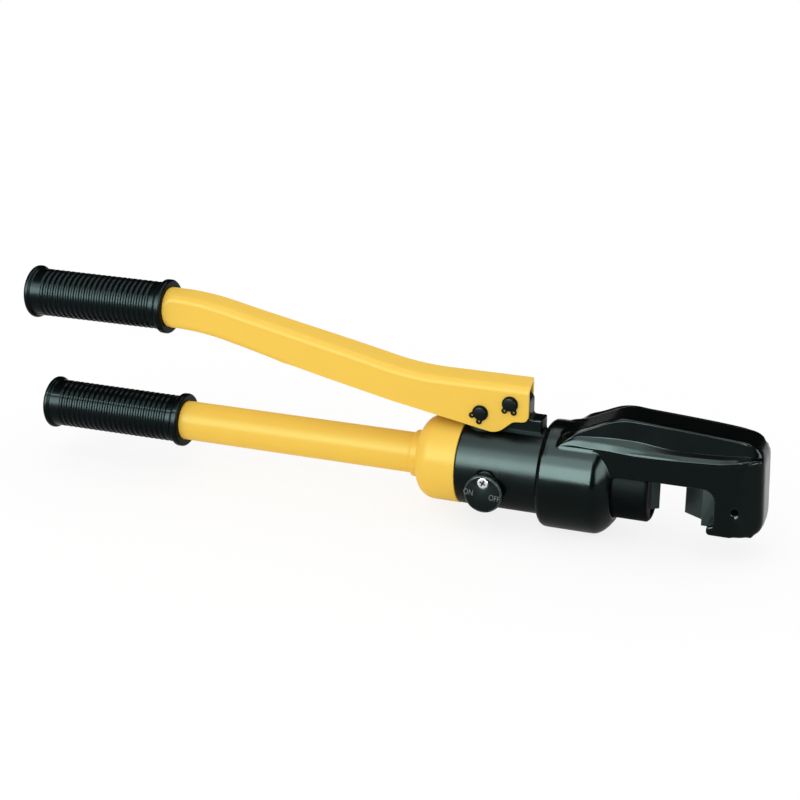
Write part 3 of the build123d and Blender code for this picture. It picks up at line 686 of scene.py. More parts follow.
def rounded_copy(node: str, width: float, segments: int = 2, angle: float = 30.0) -> bmesh.types.BMesh:
    """Copy a CAD node and round its edges.

    Args:
        node: Name of the node.
        width: Width of the rounding, in millimetres.
        segments: Pieces across the rounding.
        angle: Angle in degrees above which an edge is rounded.

    Returns:
        The mesh, with its rounded edges marked in the rub layer.
    """
    mesh = merged_copy(node)
    bmesh.ops.dissolve_limit(
        mesh,
        angle_limit=math.radians(FLAT_ANGLE),
        use_dissolve_boundaries=False,
        verts=mesh.verts,
        edges=mesh.edges,
    )
    rub = mesh.faces.layers.float.new(WEAR_AND_HIGHLIGHT_LAYER)
    limit = math.radians(angle)
    edges = [edge for edge in mesh.edges if edge.is_manifold and edge.calc_face_angle() > limit]
    result = bmesh.ops.bevel(
        mesh,
        geom=edges,
        offset=width * MM,
        offset_type="OFFSET",
        segments=segments,
        profile=0.5,
        affect="EDGES",
        clamp_overlap=False,
        material=-1,
    )
    for face in result["faces"]:
        face[rub] = 1.0
    return mesh


class Workshop:
    """Dresses pieces in their finishes and puts them on their bodies."""

    def __init__(self) -> None:
        """Build every material once."""
        groups = Groups()
        self.materials = {coat: coat.value.material(groups) for coat in Coat}

    def dress(self, piece: bpy.types.Object, body: Body, coat: Coat, *nodes: str) -> None:
        """Give a piece its finish, its body and the CAD nodes that it stands for.

        Args:
            piece: The new piece.
            body: Body that it rides on.
            coat: Its finish.
            *nodes: CAD nodes that it replaces.
        """
        piece.data.materials.clear()
        piece.data.materials.append(self.materials[coat])
        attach(piece, body.value)
        if nodes:
            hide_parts(*nodes)
        LOG.info("piece %s on %s, %d faces", piece.name, body.value, len(piece.data.polygons))

    def dress_nodes(self) -> None:
        """Give every CAD node the finish of its slot in the record."""
        first = {coat.value.slot: coat for coat in reversed(Coat)}
        for subpart in frame["record"]["subparts"]:
            node = frame["nodes"][subpart["node"]]
            node.data.materials.clear()
            node.data.materials.append(self.materials[first[Slot(subpart["material_slot"])]])


@dataclass
class RubberGrip:
    """A ribbed rubber sleeve with a rolled bead at each end, in millimetres from its middle."""

    name: str
    node: str
    body: Body
    seams: tuple[float, ...]
    bore: float = 16.05
    cap: float = 5.0
    rear_band: float = 19.4
    front_band: float = 19.15
    rear_bead: float = 21.6
    front_bead: float = 21.9
    bead_round: float = 1.8
    rear_bead_width: float = 3.4
    rear_neck: float = 5.3
    front_bead_width: float = 5.4
    front_neck: float = 6.5
    groove_width: float = 1.0
    groove_depth: float = 0.7
    groove_slope: float = 0.2
    groove_edge: float = 0.3
    groove_round: float = 0.25
    mouth_round: float = 0.5
    rib_start: float = -49.3
    ribs: int = 21
    rib_pitch: float = 4.8
    rib_depth: float = 0.8
    rib_square: float = 1.9
    rib_points: int = 12
    seam_depth: float = 0.35
    seam_floor: float = 16.55
    segments: int = 150
    sharp: float = 60.0

    def outline(self, half: float) -> list[Vector]:
        """Follow the sleeve from the middle of its closed rear round to the inside of its bore.

        Args:
            half: Half the sleeve's length.

        Returns:
            Points of the outline, in millimetres.
        """
        rib_end = self.rib_start + self.ribs * self.rib_pitch
        neck = half - self.front_neck
        low = self.front_band - self.groove_depth
        slope = self.groove_slope * self.groove_width
        rear = rounded(
            [
                Corner(-half, 0.0),
                Corner(-half, self.rear_bead, self.bead_round),
                Corner(self.rear_bead_width - half, self.rear_bead, self.bead_round),
                Corner(self.rear_neck - half, self.rear_band, self.bead_round),
                Corner(self.rib_start, self.rear_band),
            ]
        )
        front = rounded(
            [
                Corner(rib_end, self.front_band),
                Corner(neck - self.groove_width, self.front_band, self.groove_edge),
                Corner(neck - self.groove_width + slope, low, self.groove_round),
                Corner(neck - slope, low, self.groove_round),
                Corner(half - self.front_bead_width, self.front_bead, self.bead_round),
                Corner(half, self.front_bead, self.bead_round),
                Corner(half, self.bore, self.mouth_round),
                Corner(self.cap - half, self.bore),
                Corner(self.cap - half, 0.0),
            ]
        )
        steps = self.ribs * self.rib_points
        wave = []
        for n in range(1, steps):
            band = self.rear_band + (self.front_band - self.rear_band) * n / steps
            swing = math.tanh(self.rib_square * math.cos(2 * math.pi * n / self.rib_points))
            dip = 0.5 - 0.5 * swing / math.tanh(self.rib_square)
            x = self.rib_start + n * self.rib_pitch / self.rib_points
            wave.append(Vector((x, band - self.rib_depth * dip)))
        return rear + wave + front

    def build(self, shop: Workshop) -> None:
        """Spin the sleeve, press in its mould seams and dress it.

        Args:
            shop: The workshop.
        """
        low, high = node_box(self.node)
        centre = (low + high) / 2
        mesh = turned(self.outline((high.x - low.x) / 2), centre, self.segments)
        axis = centre * MM
        step = 2 * math.pi / self.segments
        for vert in mesh.verts:
            spoke = Vector((0.0, vert.co.y - axis.y, vert.co.z - axis.z))
            if spoke.length < self.seam_floor * MM:
                continue
            turn = math.atan2(spoke.z, -spoke.y)
            for seam in self.seams:
                if abs(math.remainder(turn - math.radians(seam), 2 * math.pi)) < step / 2:
                    vert.co -= spoke.normalized() * self.seam_depth * MM
        shop.dress(new_object(self.name, mesh, self.sharp), self.body, Coat.GRIP_RUBBER, self.node)


@dataclass
class PumpLever:
    """The pump lever: a tube, pressed square in front of its grip, that opens into a channel.

    Sizes are in millimetres. Places along it are measured from the rear face of the pump body.
    """

    body_x: float = 304.5
    rear: float = -371.7
    front: float = 52.4
    axis_z: float = 96.6
    tube: float = 16.0
    width: float = 31.0
    wall: float = 3.0
    top_z: float = 70.8
    slope: float = 0.232
    bend: float = -222.0
    bend_reach: float = 24.0
    pressed: float = 14.0
    press_start: float = -254.5
    press_end: float = -244.5
    press_drop: float = 2.3
    widen_start: float = -210.0
    widen_end: float = -60.0
    corner: float = 6.0
    corner_gap: float = 0.05
    corner_steps: int = 12
    side_steps: int = 16
    skirt_start: float = -165.0
    skirt_end: float = 10.0
    skirt: float = 14.0
    front_skew: float = 4.5
    skew_reach: float = 11.0
    pitch: float = 2.5
    front_gaps: tuple[float, ...] = (1.6, 0.9, 0.4, 0.12, 0.0)
    rim: float = 0.7
    rim_angle: float = 55.0
    sharp: float = 60.0
    edge_steps: int = 14
    lower_edge: tuple[Corner, ...] = (
        Corner(-190.0, 55.0),
        Corner(-152.0, 67.4, 60.0),
        Corner(-55.0, 46.9, 300.0),
        Corner(28.2, 31.8, 14.0),
        Corner(40.8, 42.9, 6.0),
        Corner(52.4, 43.8, 4.5),
        Corner(52.4, 70.8),
    )

    def eased(self, x: float, start: float, end: float) -> float:
        """A soft step from 0 to 1 between two places along the lever."""
        t = min(max((x - start) / (end - start), 0.0), 1.0)
        return t * t * (3 - 2 * t)

    def ramp(self, x: float, bend: float) -> float:
        """Run past a bend of the top line, rounded off over the reach of the bend."""
        past = min(max(x - bend + self.bend_reach, 0.0), 2 * self.bend_reach)
        return past * past / (4 * self.bend_reach) + max(x - bend - self.bend_reach, 0.0)

    def top(self, x: float) -> float:
        """Height of the top line, which bends down to the channel and there runs level again.

        Args:
            x: Place along the lever.

        Returns:
            The height.
        """
        tube_top = self.axis_z + self.tube
        gap = (tube_top - self.top_z) / self.slope
        return tube_top - self.slope * (self.ramp(x, self.bend) - self.ramp(x, self.bend + gap))

    def floor(self, edge: Sequence[Vector], x: float) -> float:
        """Height of the channel's lower edge at a place along the lever.

        Args:
            edge: Points of the lower edge.
            x: Place along the lever.

        Returns:
            The height, or a place far below where the tube is whole.
        """
        for left, right in zip(edge, edge[1:]):
            if left.x <= x <= right.x and right.x > left.x:
                return left.lerp(right, (x - left.x) / (right.x - left.x)).y
        return -self.tube

    def half_section(self, x: float, floor: float) -> list[Vector]:
        """Follow half a cross section down from the top middle.

        Args:
            x: Place along the lever.
            floor: Height below which the channel is open.

        Returns:
            Y and Z of each point. Below the floor, the points stay on it.
        """
        press = self.eased(x, self.press_start, self.press_end)
        widen = self.eased(x, self.widen_start, self.widen_end)
        half = self.tube - (self.tube - self.pressed) * press + (self.width / 2 - self.pressed) * widen
        corner = self.tube - self.corner_gap + (self.corner - self.tube + self.corner_gap) * press
        high = self.top(x) - self.press_drop * (press - widen)
        depth = 2 * self.tube - 2 * (self.tube - self.pressed) * (press - widen)
        low = high - depth - self.skirt * self.eased(x, self.skirt_start, self.skirt_end)
        outline = rounded(
            [
                Corner(0.0, high),
                Corner(half, high, corner),
                Corner(half, low, corner),
                Corner(0.0, low),
            ],
            steps=self.corner_steps,
        )
        upper = outline[: len(outline) // 2]
        lower = outline[len(outline) // 2:]
        straight = [upper[-1].lerp(lower[0], n / self.side_steps) for n in range(1, self.side_steps)]
        kept: list[Vector] = []
        for point in upper + straight + lower:
            if point.y < floor and kept:
                last = kept[-1]
                if last.y > floor:
                    point = last.lerp(point, (last.y - floor) / (last.y - point.y))
                else:
                    point = last
            kept.append(point.copy())
        return kept

    def stations(self) -> list[float]:
        """Spread the cross sections along the lever.

        Returns:
            Their places, closer together at the front.
        """
        count = round((self.front - self.rear) / self.pitch)
        even = [self.rear + (self.front - self.rear) * n / count for n in range(count)]
        return even + [self.front - gap for gap in self.front_gaps]

    def place(self, x: float, point: Vector) -> Vector:
        """Place of a point of a cross section, with the front edge running back towards the far side.

        Args:
            x: Place of the cross section along the lever.
            point: Y and Z of the point.

        Returns:
            The point, in metres.
        """
        inner = self.wall - self.width / 2
        skew = self.front_skew * max(point.x - inner, 0.0) / (self.width - self.wall)
        near_front = max(x - self.front + self.skew_reach, 0.0) / self.skew_reach
        return Vector((self.body_x + x - skew * near_front, point.x, point.y)) * MM

    def build(self, shop: Workshop) -> None:
        """Extrude the cross section along the lever, give it its wall and dress it.

        Args:
            shop: The workshop.
        """
        edge = rounded(self.lower_edge, self.edge_steps)
        mesh = bmesh.new()
        row: list[bmesh.types.BMVert] = []
        edges: list[bmesh.types.BMEdge] = []
        for x in self.stations():
            half = self.half_section(x, self.floor(edge, x))
            ring = [Vector((-p.x, p.y)) for p in reversed(half[1:])] + half
            places = [self.place(x, p) for p in ring]
            if not row:
                row = [mesh.verts.new(place) for place in places]
                edges = [mesh.edges.new(pair) for pair in zip(row, row[1:])]
                continue
            grown = bmesh.ops.extrude_edge_only(mesh, edges=edges)["geom"]
            edges = [item for item in grown if isinstance(item, bmesh.types.BMEdge)]
            row = [item for item in grown if isinstance(item, bmesh.types.BMVert)]
            for vert, place in zip(row, places):
                vert.co = place
        sew(mesh)
        piece = new_object("lever_pressing", mesh, self.sharp)
        wall = piece.modifiers.new("wall", "SOLIDIFY")
        wall.thickness = self.wall * MM
        wall.offset = -1.0
        wall.use_even_offset = True
        rim = piece.modifiers.new("rim", "BEVEL")
        rim.width = self.rim * MM
        rim.segments = 2
        rim.limit_method = "ANGLE"
        rim.angle_limit = math.radians(self.rim_angle)
        shop.dress(piece, Body.LEVER, Coat.YELLOW_PAINT, "lever")


@dataclass
class ReservoirCollar:
    """The yellow collar that joins the handle tube to the pump body, in millimetres."""

    neck_x: float = 262.5
    shoulder_x: float = 269.5
    floor_x: float = 277.5
    body_x: float = 304.5
    radius: float = 33.15
    bore: float = 27.95
    neck: float = 18.4
    tube: float = 16.05
    shoulder: float = 14.0
    rim_round: float = 0.5
    root_round: float = 0.6
    neck_round: float = 1.4
    arc_steps: int = 12
    segments: int = 192

    def build(self, shop: Workshop) -> None:
        """Spin the collar and dress it.

        Args:
            shop: The workshop.
        """
        outline = rounded(
            [
                Corner(self.body_x, self.bore),
                Corner(self.body_x, self.radius, self.rim_round),
                Corner(self.shoulder_x, self.radius, self.shoulder),
                Corner(self.shoulder_x, self.neck, self.root_round),
                Corner(self.neck_x, self.neck, self.neck_round),
                Corner(self.neck_x, self.tube),
                Corner(self.floor_x, self.tube),
                Corner(self.floor_x, self.bore),
                Corner(self.body_x, self.bore),
            ],
            steps=self.arc_steps,
        )
        piece = new_object("collar_turning", turned(outline, ORIGIN, self.segments))
        shop.dress(piece, Body.FRAME, Coat.YELLOW_PAINT, "reservoir_collar")


@dataclass
class HandleTube:
    """The yellow handle tube, turned finer than its CAD node, in millimetres."""

    node: str = "handle_tube"
    bore: float = 13.5
    edge: float = 0.4
    segments: int = 128

    def build(self, shop: Workshop) -> None:
        """Spin the tube and dress it.

        Args:
            shop: The workshop.
        """
        low, high = node_box(self.node)
        radius = (high.y - low.y) / 2
        middle = (low.x + high.x) / 2
        outline = rounded(
            [
                Corner(middle, self.bore),
                Corner(low.x, self.bore, self.edge),
                Corner(low.x, radius, self.edge),
                Corner(high.x, radius, self.edge),
                Corner(high.x, self.bore, self.edge),
                Corner(middle, self.bore),
            ]
        )
        piece = new_object("tube_drawing", turned(outline, ORIGIN, self.segments))
        shop.dress(piece, Body.FRAME, Coat.YELLOW_PAINT, self.node)


@dataclass(frozen=True)
class TurnedSkin:
    """The round skin of a part about the tool axis, in millimetres."""

    radius: float
    reach: float = 0.12

    def true(self, x: float, r: float) -> tuple[float, float]:
        """Move a point that is near the skin onto it.

        Args:
            x: Place of the point along the axis.
            r: Its distance from the axis.

        Returns:
            The place and the distance.
        """
        return (x, self.radius) if abs(r - self.radius) < self.reach else (x, r)


@dataclass(frozen=True)
class BarrelSkin(TurnedSkin):
    """The round skin of the cylinder barrel, with its rear shoulder and its crown."""

    rear: float = 369.3
    shoulder: float = 5.5
    front: float = 410.0
    crown_length: float = 15.0
    crown_drop: float = 12.4
    curve_reach: float = 0.5

    def true(self, x: float, r: float) -> tuple[float, float]:
        """Move a point that is near the skin onto it.

        Args:
            x: Place of the point along the axis.
            r: Its distance from the axis.

        Returns:
            The place and the distance.
        """
        foot = Vector((self.rear + self.shoulder, self.radius - self.shoulder))
        spoke = Vector((x, r)) - foot
        if spoke.x < 0.0 < spoke.y:
            if abs(spoke.length - self.shoulder) < self.curve_reach:
                return tuple(foot + spoke.normalized() * self.shoulder)
            return x, r
        if x <= self.front:
            return super().true(x, r)
        part = (x - self.front) / self.crown_length
        crown = self.radius - self.crown_drop * part * part
        return (x, crown) if part < 1.0 and abs(r - crown) < self.curve_reach else (x, r)


@dataclass(frozen=True)
class CastPart:
    """A black part that is shown with the soft edges and true rounds of a painted casting."""

    node: str
    body: Body
    coat: Coat
    skin: TurnedSkin
    voxel: float
    passes: int
    last_passes: int = 2
    softness: float = 0.5
    rub_depth: float = 0.5
    grime_depth: float = 0.15

    def soften(self, mesh: bmesh.types.BMesh, verts: Sequence[bmesh.types.BMVert], passes: int) -> None:
        """Smooth points of the mesh.

        Args:
            mesh: The mesh.
            verts: Points that are smoothed.
            passes: How many times.
        """
        for _ in range(passes):
            bmesh.ops.smooth_vert(
                mesh, verts=verts, factor=self.softness, use_axis_x=True, use_axis_y=True, use_axis_z=True
            )

    def true_up(self, mesh: bmesh.types.BMesh) -> None:
        """Put the points that lie near the part's round skin onto it.

        Args:
            mesh: The softened mesh.
        """
        for vert in mesh.verts:
            spoke = Vector((vert.co.y, vert.co.z)) / MM
            x, r = self.skin.true(vert.co.x / MM, spoke.length)
            spoke = spoke.normalized() * r
            vert.co = Vector((x, spoke.x, spoke.y)) * MM

    def mark_edges(self, mesh: bmesh.types.BMesh, tree: BVHTree) -> None:
        """Mark the outer edges that the softening took down and the inner corners that it filled.

        Args:
            mesh: The softened mesh.
            tree: The CAD shape.
        """
        rub = mesh.verts.layers.float.new(WEAR_AND_HIGHLIGHT_LAYER)
        grime = mesh.verts.layers.float.new(GRIME_LAYER)
        for vert in mesh.verts:
            place, normal, _, _ = tree.find_nearest(vert.co)
            depth = (place - vert.co).dot(normal) / MM
            vert[rub] = min(max(depth / self.rub_depth, 0.0), 1.0)
            vert[grime] = min(max(-depth / self.grime_depth, 0.0), 1.0)

    def shape(self) -> bpy.types.Object:
        """Copy the node as it is before it is softened."""
        return new_object(f"{self.node}_casting", merged_copy(self.node))

    def refine(self, mesh: bmesh.types.BMesh) -> None:
        """Soften single places of the part further. A plain part has none."""

    def build(self, shop: Workshop) -> None:
        """Copy the node, soften it and dress it.

        Args:
            shop: The workshop.
        """
        piece = self.shape()
        mesh = opened(piece.data)
        tree = BVHTree.FromBMesh(mesh)
        mesh.free()
        skin = piece.modifiers.new("skin", "REMESH")
        skin.mode = "VOXEL"
        skin.voxel_size = self.voxel * MM
        bake_modifiers(piece)
        mesh = opened(piece.data)
        self.soften(mesh, mesh.verts[:], self.passes)
        self.true_up(mesh)
        self.refine(mesh)
        self.soften(mesh, mesh.verts[:], self.last_passes)
        self.mark_edges(mesh, tree)
        mesh.to_mesh(piece.data)
        mesh.free()
        piece.data.shade_smooth()
        shop.dress(piece, self.body, self.coat, self.node)


@dataclass(frozen=True)
class HeadCasting(CastPart):
    """The jaw head, with its recess run on to the nose, in millimetres.

    The cut is given as X, inner Y, and the heights of its floor inside and outside. The lines of the nose
    are given as X, Y and the height up to which they are rounded.
    """

    cut: tuple[tuple[float, float, float, float], ...] = (
        (486.0, 15.9, 39.3, 25.6),
        (488.0, 15.9, 39.3, 25.6),
        (503.0, 15.9, 39.7, 27.6),
        (512.0, 15.2, 39.9, 33.1),
        (519.0, 15.0, 39.7, 38.9),
        (545.0, 15.0, 39.7, 38.9),
    )
    cut_past: float = 45.0
    cut_high: float = 80.0
    nose_lines: tuple[tuple[float, float, float], ...] = ((535.5, 15.0, 60.0), (521.5, 26.5, 33.0))
    nose_reach: float = 8.0
    nose_passes: int = 50

    def shape(self) -> bpy.types.Object:
        """Copy the node and cut its recess on to the nose.

        Returns:
            The head before it is softened.
        """
        piece = super().shape()
        for side in (-1, 1):
            cutter = lofted([
                [
                    Vector((x, side * y, inner)),
                    Vector((x, side * self.cut_past, outer)),
                    Vector((x, side * self.cut_past, self.cut_high)),
                    Vector((x, side * y, self.cut_high)),
                ]
                for x, y, inner, outer in self.cut
            ])
            cut_out(piece, cutter)
        return piece

    def refine(self, mesh: bmesh.types.BMesh) -> None:
        """Round the upright corners of the nose, each up to its height.

        Args:
            mesh: The softened mesh.
        """
        for x, y, high in self.nose_lines:
            verts = []
            for vert in mesh.verts:
                across = Vector((vert.co.x / MM - x, abs(vert.co.y) / MM - y))
                if across.length < self.nose_reach and vert.co.z / MM < high:
                    verts.append(vert)
            self.soften(mesh, verts, self.nose_passes)


@dataclass(frozen=True)
class WebStation:
    """A cross section of a web of the head and its ledge, as Y and Z in millimetres.

    The rounds are the radii of the ledge's edge, of its root and of the web's top.
    """

    x: float
    edge: tuple[float, float]
    middle: tuple[float, float]
    root: tuple[float, float]
    top: tuple[float, float]
    inside_z: float
    rounds: tuple[float, float, float] = (0.5, 0.08, 0.12)

    def numbers(self) -> Vector:
        """Every number of the section in a row."""
        corners = (*self.edge, *self.middle, *self.root, *self.top)
        return Vector((self.x, *corners, self.inside_z, *self.rounds))


@dataclass
class HeadWebs:
    """The two webs beside the spine, whose ledge turns from a steep slope to a flat step."""

    pitch: float = 2.0
    inside: float = 13.0
    skirt: float = 5.0
    draft: float = 0.3
    middle_round: float = 5.0
    middle_share: float = 4.0
    support: float = 0.05
    arc_steps: int = 5
    stations: tuple[WebStation, ...] = (
        WebStation(384.8, (26.4, 33.6), (26.3, 33.9), (26.2, 34.1), (26.0, 34.3), 39.6, (0.05, 0.05, 0.05)),
        WebStation(390.5, (26.5, 34.8), (25.3, 37.2), (24.0, 38.3), (23.8, 38.8), 41.0, (0.6, 0.15, 0.3)),
        WebStation(396.5, (26.5, 35.1), (24.3, 39.2), (22.2, 40.8), (21.7, 43.4), 42.9, (1.2, 0.4, 0.5)),
        WebStation(406.0, (26.5, 34.6), (23.9, 39.2), (20.9, 41.4), (20.1, 47.6), 47.1, (1.5, 0.8, 0.6)),
        WebStation(420.0, (26.5, 34.4), (24.0, 39.0), (20.3, 42.0), (18.8, 53.8), 53.4, (1.6, 1.5, 0.5)),
        WebStation(431.0, (26.5, 33.8), (23.6, 38.4), (19.1, 41.6), (17.2, 56.0), 55.3, (1.5, 1.8, 0.5)),
        WebStation(442.0, (26.5, 33.3), (23.2, 37.6), (18.1, 40.8), (16.1, 55.6), 54.9, (1.1, 1.8, 0.5)),
        WebStation(466.0, (26.5, 33.8), (23.0, 36.6), (18.1, 38.4), (16.1, 53.9), 53.2, (0.8, 0.15, 0.2)),
        WebStation(488.0, (26.5, 34.9), (23.0, 37.2), (17.9, 38.5), (16.1, 52.3), 51.6),
        WebStation(503.0, (26.5, 35.9), (23.0, 38.0), (17.6, 39.1), (16.0, 51.0), 50.3),
        WebStation(512.0, (26.5, 37.6), (22.8, 39.2), (17.2, 39.8), (15.9, 50.0), 49.4, (0.3, 0.08, 0.12)),
        WebStation(518.0, (26.5, 39.3), (22.0, 40.0), (16.9, 40.1), (15.8, 48.9), 48.2, (1.0, 0.08, 0.12)),
        WebStation(521.5, (26.2, 39.7), (21.5, 40.2), (16.7, 40.2), (15.7, 47.9), 47.2, (2.8, 0.08, 0.12)),
        WebStation(524.5, (23.8, 40.1), (20.2, 40.3), (16.5, 40.3), (15.4, 46.4), 45.6, (0.8, 0.08, 0.12)),
        WebStation(528.0, (20.4, 40.1), (18.4, 40.2), (15.8, 40.3), (14.8, 43.4), 42.6, (0.1, 0.08, 0.12)),
        WebStation(530.5, (17.2, 39.0), (16.4, 39.1), (15.0, 39.2), (14.2, 39.6), 39.2, (0.05, 0.05, 0.05)),
    )

    def rows(self) -> list[Vector]:
        """Draw smooth lines through the stations.

        Returns:
            The numbers of the cross sections, closer together than the stations.
        """
        given = [station.numbers() for station in self.stations]
        ends = [given[0]] + given + [given[-1]]
        slopes = [(after - before) / (after[0] - before[0]) for before, after in zip(ends, ends[2:])]
        rows = []
        for n, (here, there) in enumerate(zip(given, given[1:])):
            run = there[0] - here[0]
            count = max(round(run / self.pitch), 2)
            for step in range(count):
                t = step / count
                bend = slopes[n] * (t * (1 - t) ** 2) - slopes[n + 1] * (t * t * (1 - t))
                rows.append(here + (there - here) * (t * t * (3 - 2 * t)) + bend * run)
        return rows + [given[-1]]

    def section(self, row: Vector, side: int) -> list[Vector]:
        """Follow a cross section round.

        Args:
            row: Its numbers.
            side: Minus 1 for the near side, 1 for the far side.

        Returns:
            Its points, in millimetres.
        """
        x, edge_y, edge_z, middle_y, middle_z, root_y, root_z, top_y, top_z, inside_z, *rounds = row
        corners = [
            Corner(self.inside, edge_z - self.skirt),
            Corner(edge_y - self.draft, edge_z - self.skirt),
            Corner(edge_y, edge_z, rounds[0]),
            Corner(middle_y, middle_z, min(self.middle_round, self.middle_share * rounds[0])),
            Corner(root_y, root_z, rounds[1]),
            Corner(top_y, top_z, rounds[2]),
            Corner(self.inside, inside_z),
        ]
        outline = rounded(corners, self.arc_steps)
        points = [outline[0]]
        for here, there in zip(outline, outline[1:]):
            points += [here.lerp(there, self.support), here.lerp(there, 1.0 - self.support), there]
        return [Vector((x, side * point.x, point.y)) for point in points]

    def build(self, shop: Workshop) -> None:
        """Loft the web of each side and dress it.

        Args:
            shop: The workshop.
        """
        rows = self.rows()
        for name, side in (("near", -1), ("far", 1)):
            mesh = lofted([self.section(row, side) for row in rows])
            shop.dress(new_object(f"head_web_{name}", mesh), Body.FRAME, Coat.CAST_PAINT)


CAST_PARTS = (
    HeadCasting("head_frame", Body.FRAME, Coat.CAST_PAINT, BarrelSkin(41.4), 0.9, 8),
    CastPart("pump_body", Body.FRAME, Coat.TURNED_PAINT, TurnedSkin(32.9), 0.8, 4),
    CastPart("ram", Body.RAM, Coat.RAM_STEEL, TurnedSkin(26.7), 0.6, 4),
)


@dataclass(frozen=True)
class RoundedPart:
    """A CAD node that is shown with its edges rounded, in millimetres."""

    node: str
    body: Body
    coat: Coat
    width: float
    segments: int = 2

    def build(self, shop: Workshop) -> None:
        """Copy the node, round its edges and dress it.

        Args:
            shop: The workshop.
        """
        piece = new_object(f"{self.node}_rounded", rounded_copy(self.node, self.width, self.segments))
        shop.dress(piece, self.body, self.coat, self.node)


ROUNDED_PARTS = (
    RoundedPart("moving_blade", Body.RAM, Coat.BLADE_STEEL, 0.2),
    RoundedPart("fixed_blade", Body.FRAME, Coat.BLADE_STEEL, 0.2),
    RoundedPart("pivot_pin", Body.LEVER, Coat.BLACKENED_STEEL, 0.35),
    RoundedPart("drive_pin", Body.LEVER, Coat.BLACKENED_STEEL, 0.35),
    RoundedPart("pivot_washers", Body.LEVER, Coat.BLACKENED_STEEL, 0.3),
    RoundedPart("pump_plunger", Body.PLUNGER, Coat.BLACKENED_STEEL, 0.5),
    RoundedPart("plunger_gland", Body.FRAME, Coat.BLACKENED_STEEL, 0.4),
    RoundedPart("stem_gland", Body.FRAME, Coat.BLACKENED_STEEL, 0.3),
)


@dataclass
class Circlips:
    """The retaining rings of the lever pins, with the plier holes in their lugs, in millimetres."""

    node: str = "pin_circlips"
    inner: float = 4.66
    outer: float = 6.2
    lug: float = 2.3
    hole: float = 0.95
    lug_radius: float = 6.8
    lug_turn: float = 32.0
    gap_turn: float = 22.0
    steps: int = 48
    disc_segments: int = 24
    pins: tuple[tuple[str, float], ...] = (("pivot_pin", 265.0), ("drive_pin", 232.0))

    def disc(self, mesh: bmesh.types.BMesh, place: Vector, radius: float, height: float) -> None:
        """Add an upright disc across the lever.

        Args:
            mesh: Mesh that it goes into.
            place: Its middle, in millimetres.
            radius: Its radius, in millimetres.
            height: Its thickness, in millimetres.
        """
        bmesh.ops.create_cone(
            mesh,
            cap_ends=True,
            segments=self.disc_segments,
            radius1=radius * MM,
            radius2=radius * MM,
            depth=height * MM,
            matrix=Matrix.Translation(place * MM) @ Matrix.Rotation(math.pi / 2, 4, "X"),
        )

    def build(self, shop: Workshop) -> None:
        """Spin the rings, add their lugs, drill them and dress them.

        Args:
            shop: The workshop.
        """
        low, high = node_box(self.node)
        thick = high.y - low.y
        rings = bmesh.new()
        drill = bmesh.new()
        for pin, turn in self.pins:
            pin_low, pin_high = node_box(pin)
            middle = (pin_low + pin_high) / 2
            middle.y = (low.y + high.y) / 2
            start = math.radians(turn + self.gap_turn)
            spoke = Vector((math.cos(start), 0.0, math.sin(start)))
            rise = Vector((0.0, thick / 2, 0.0))
            inner, outer = spoke * self.inner, spoke * self.outer
            corners = (inner - rise, outer - rise, outer + rise, inner + rise)
            face = rings.faces.new([rings.verts.new((middle + corner) * MM) for corner in corners])
            bmesh.ops.spin(
                rings,
                geom=[face],
                cent=middle * MM,
                axis=(0.0, -1.0, 0.0),
                angle=2 * math.pi - 2 * math.radians(self.gap_turn),
                steps=self.steps,
            )
            for side in (-1, 1):
                at = math.radians(turn + side * self.lug_turn)
                place = middle + Vector((math.cos(at), 0.0, math.sin(at))) * self.lug_radius
                self.disc(rings, place, self.lug, thick)
                self.disc(drill, place, self.hole, 2 * thick)
        bmesh.ops.recalc_face_normals(rings, faces=rings.faces)
        piece = new_object("pin_circlips_drilled", rings)
        cut_out(piece, drill)
        shop.dress(piece, Body.LEVER, Coat.BLACKENED_STEEL, self.node)


class CoilSprings:
    """The springs inside the tool, shown as plain copies of their CAD nodes that don't shorten with their
    joints.
    """

    def spring(self, shop: Workshop, row: dict) -> None:
        """Copy a spring and dress it.

        Args:
            shop: The workshop.
            row: The joint's note on the spring, with its direction and its fixed end.
        """
        piece = new_object(f"{row['node']}_coils", merged_copy(row["node"]))
        shop.dress(piece, Body.FRAME, Coat.GROUND_STEEL, row["node"])
        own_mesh(piece)

    def build(self, shop: Workshop) -> None:
        """Make every spring that the record names.

        Args:
            shop: The workshop.
        """
        for joint in frame["record"]["behaviour"]["joints"]:
            for row in joint.get("deforming_nodes", ()):
                self.spring(shop, row)


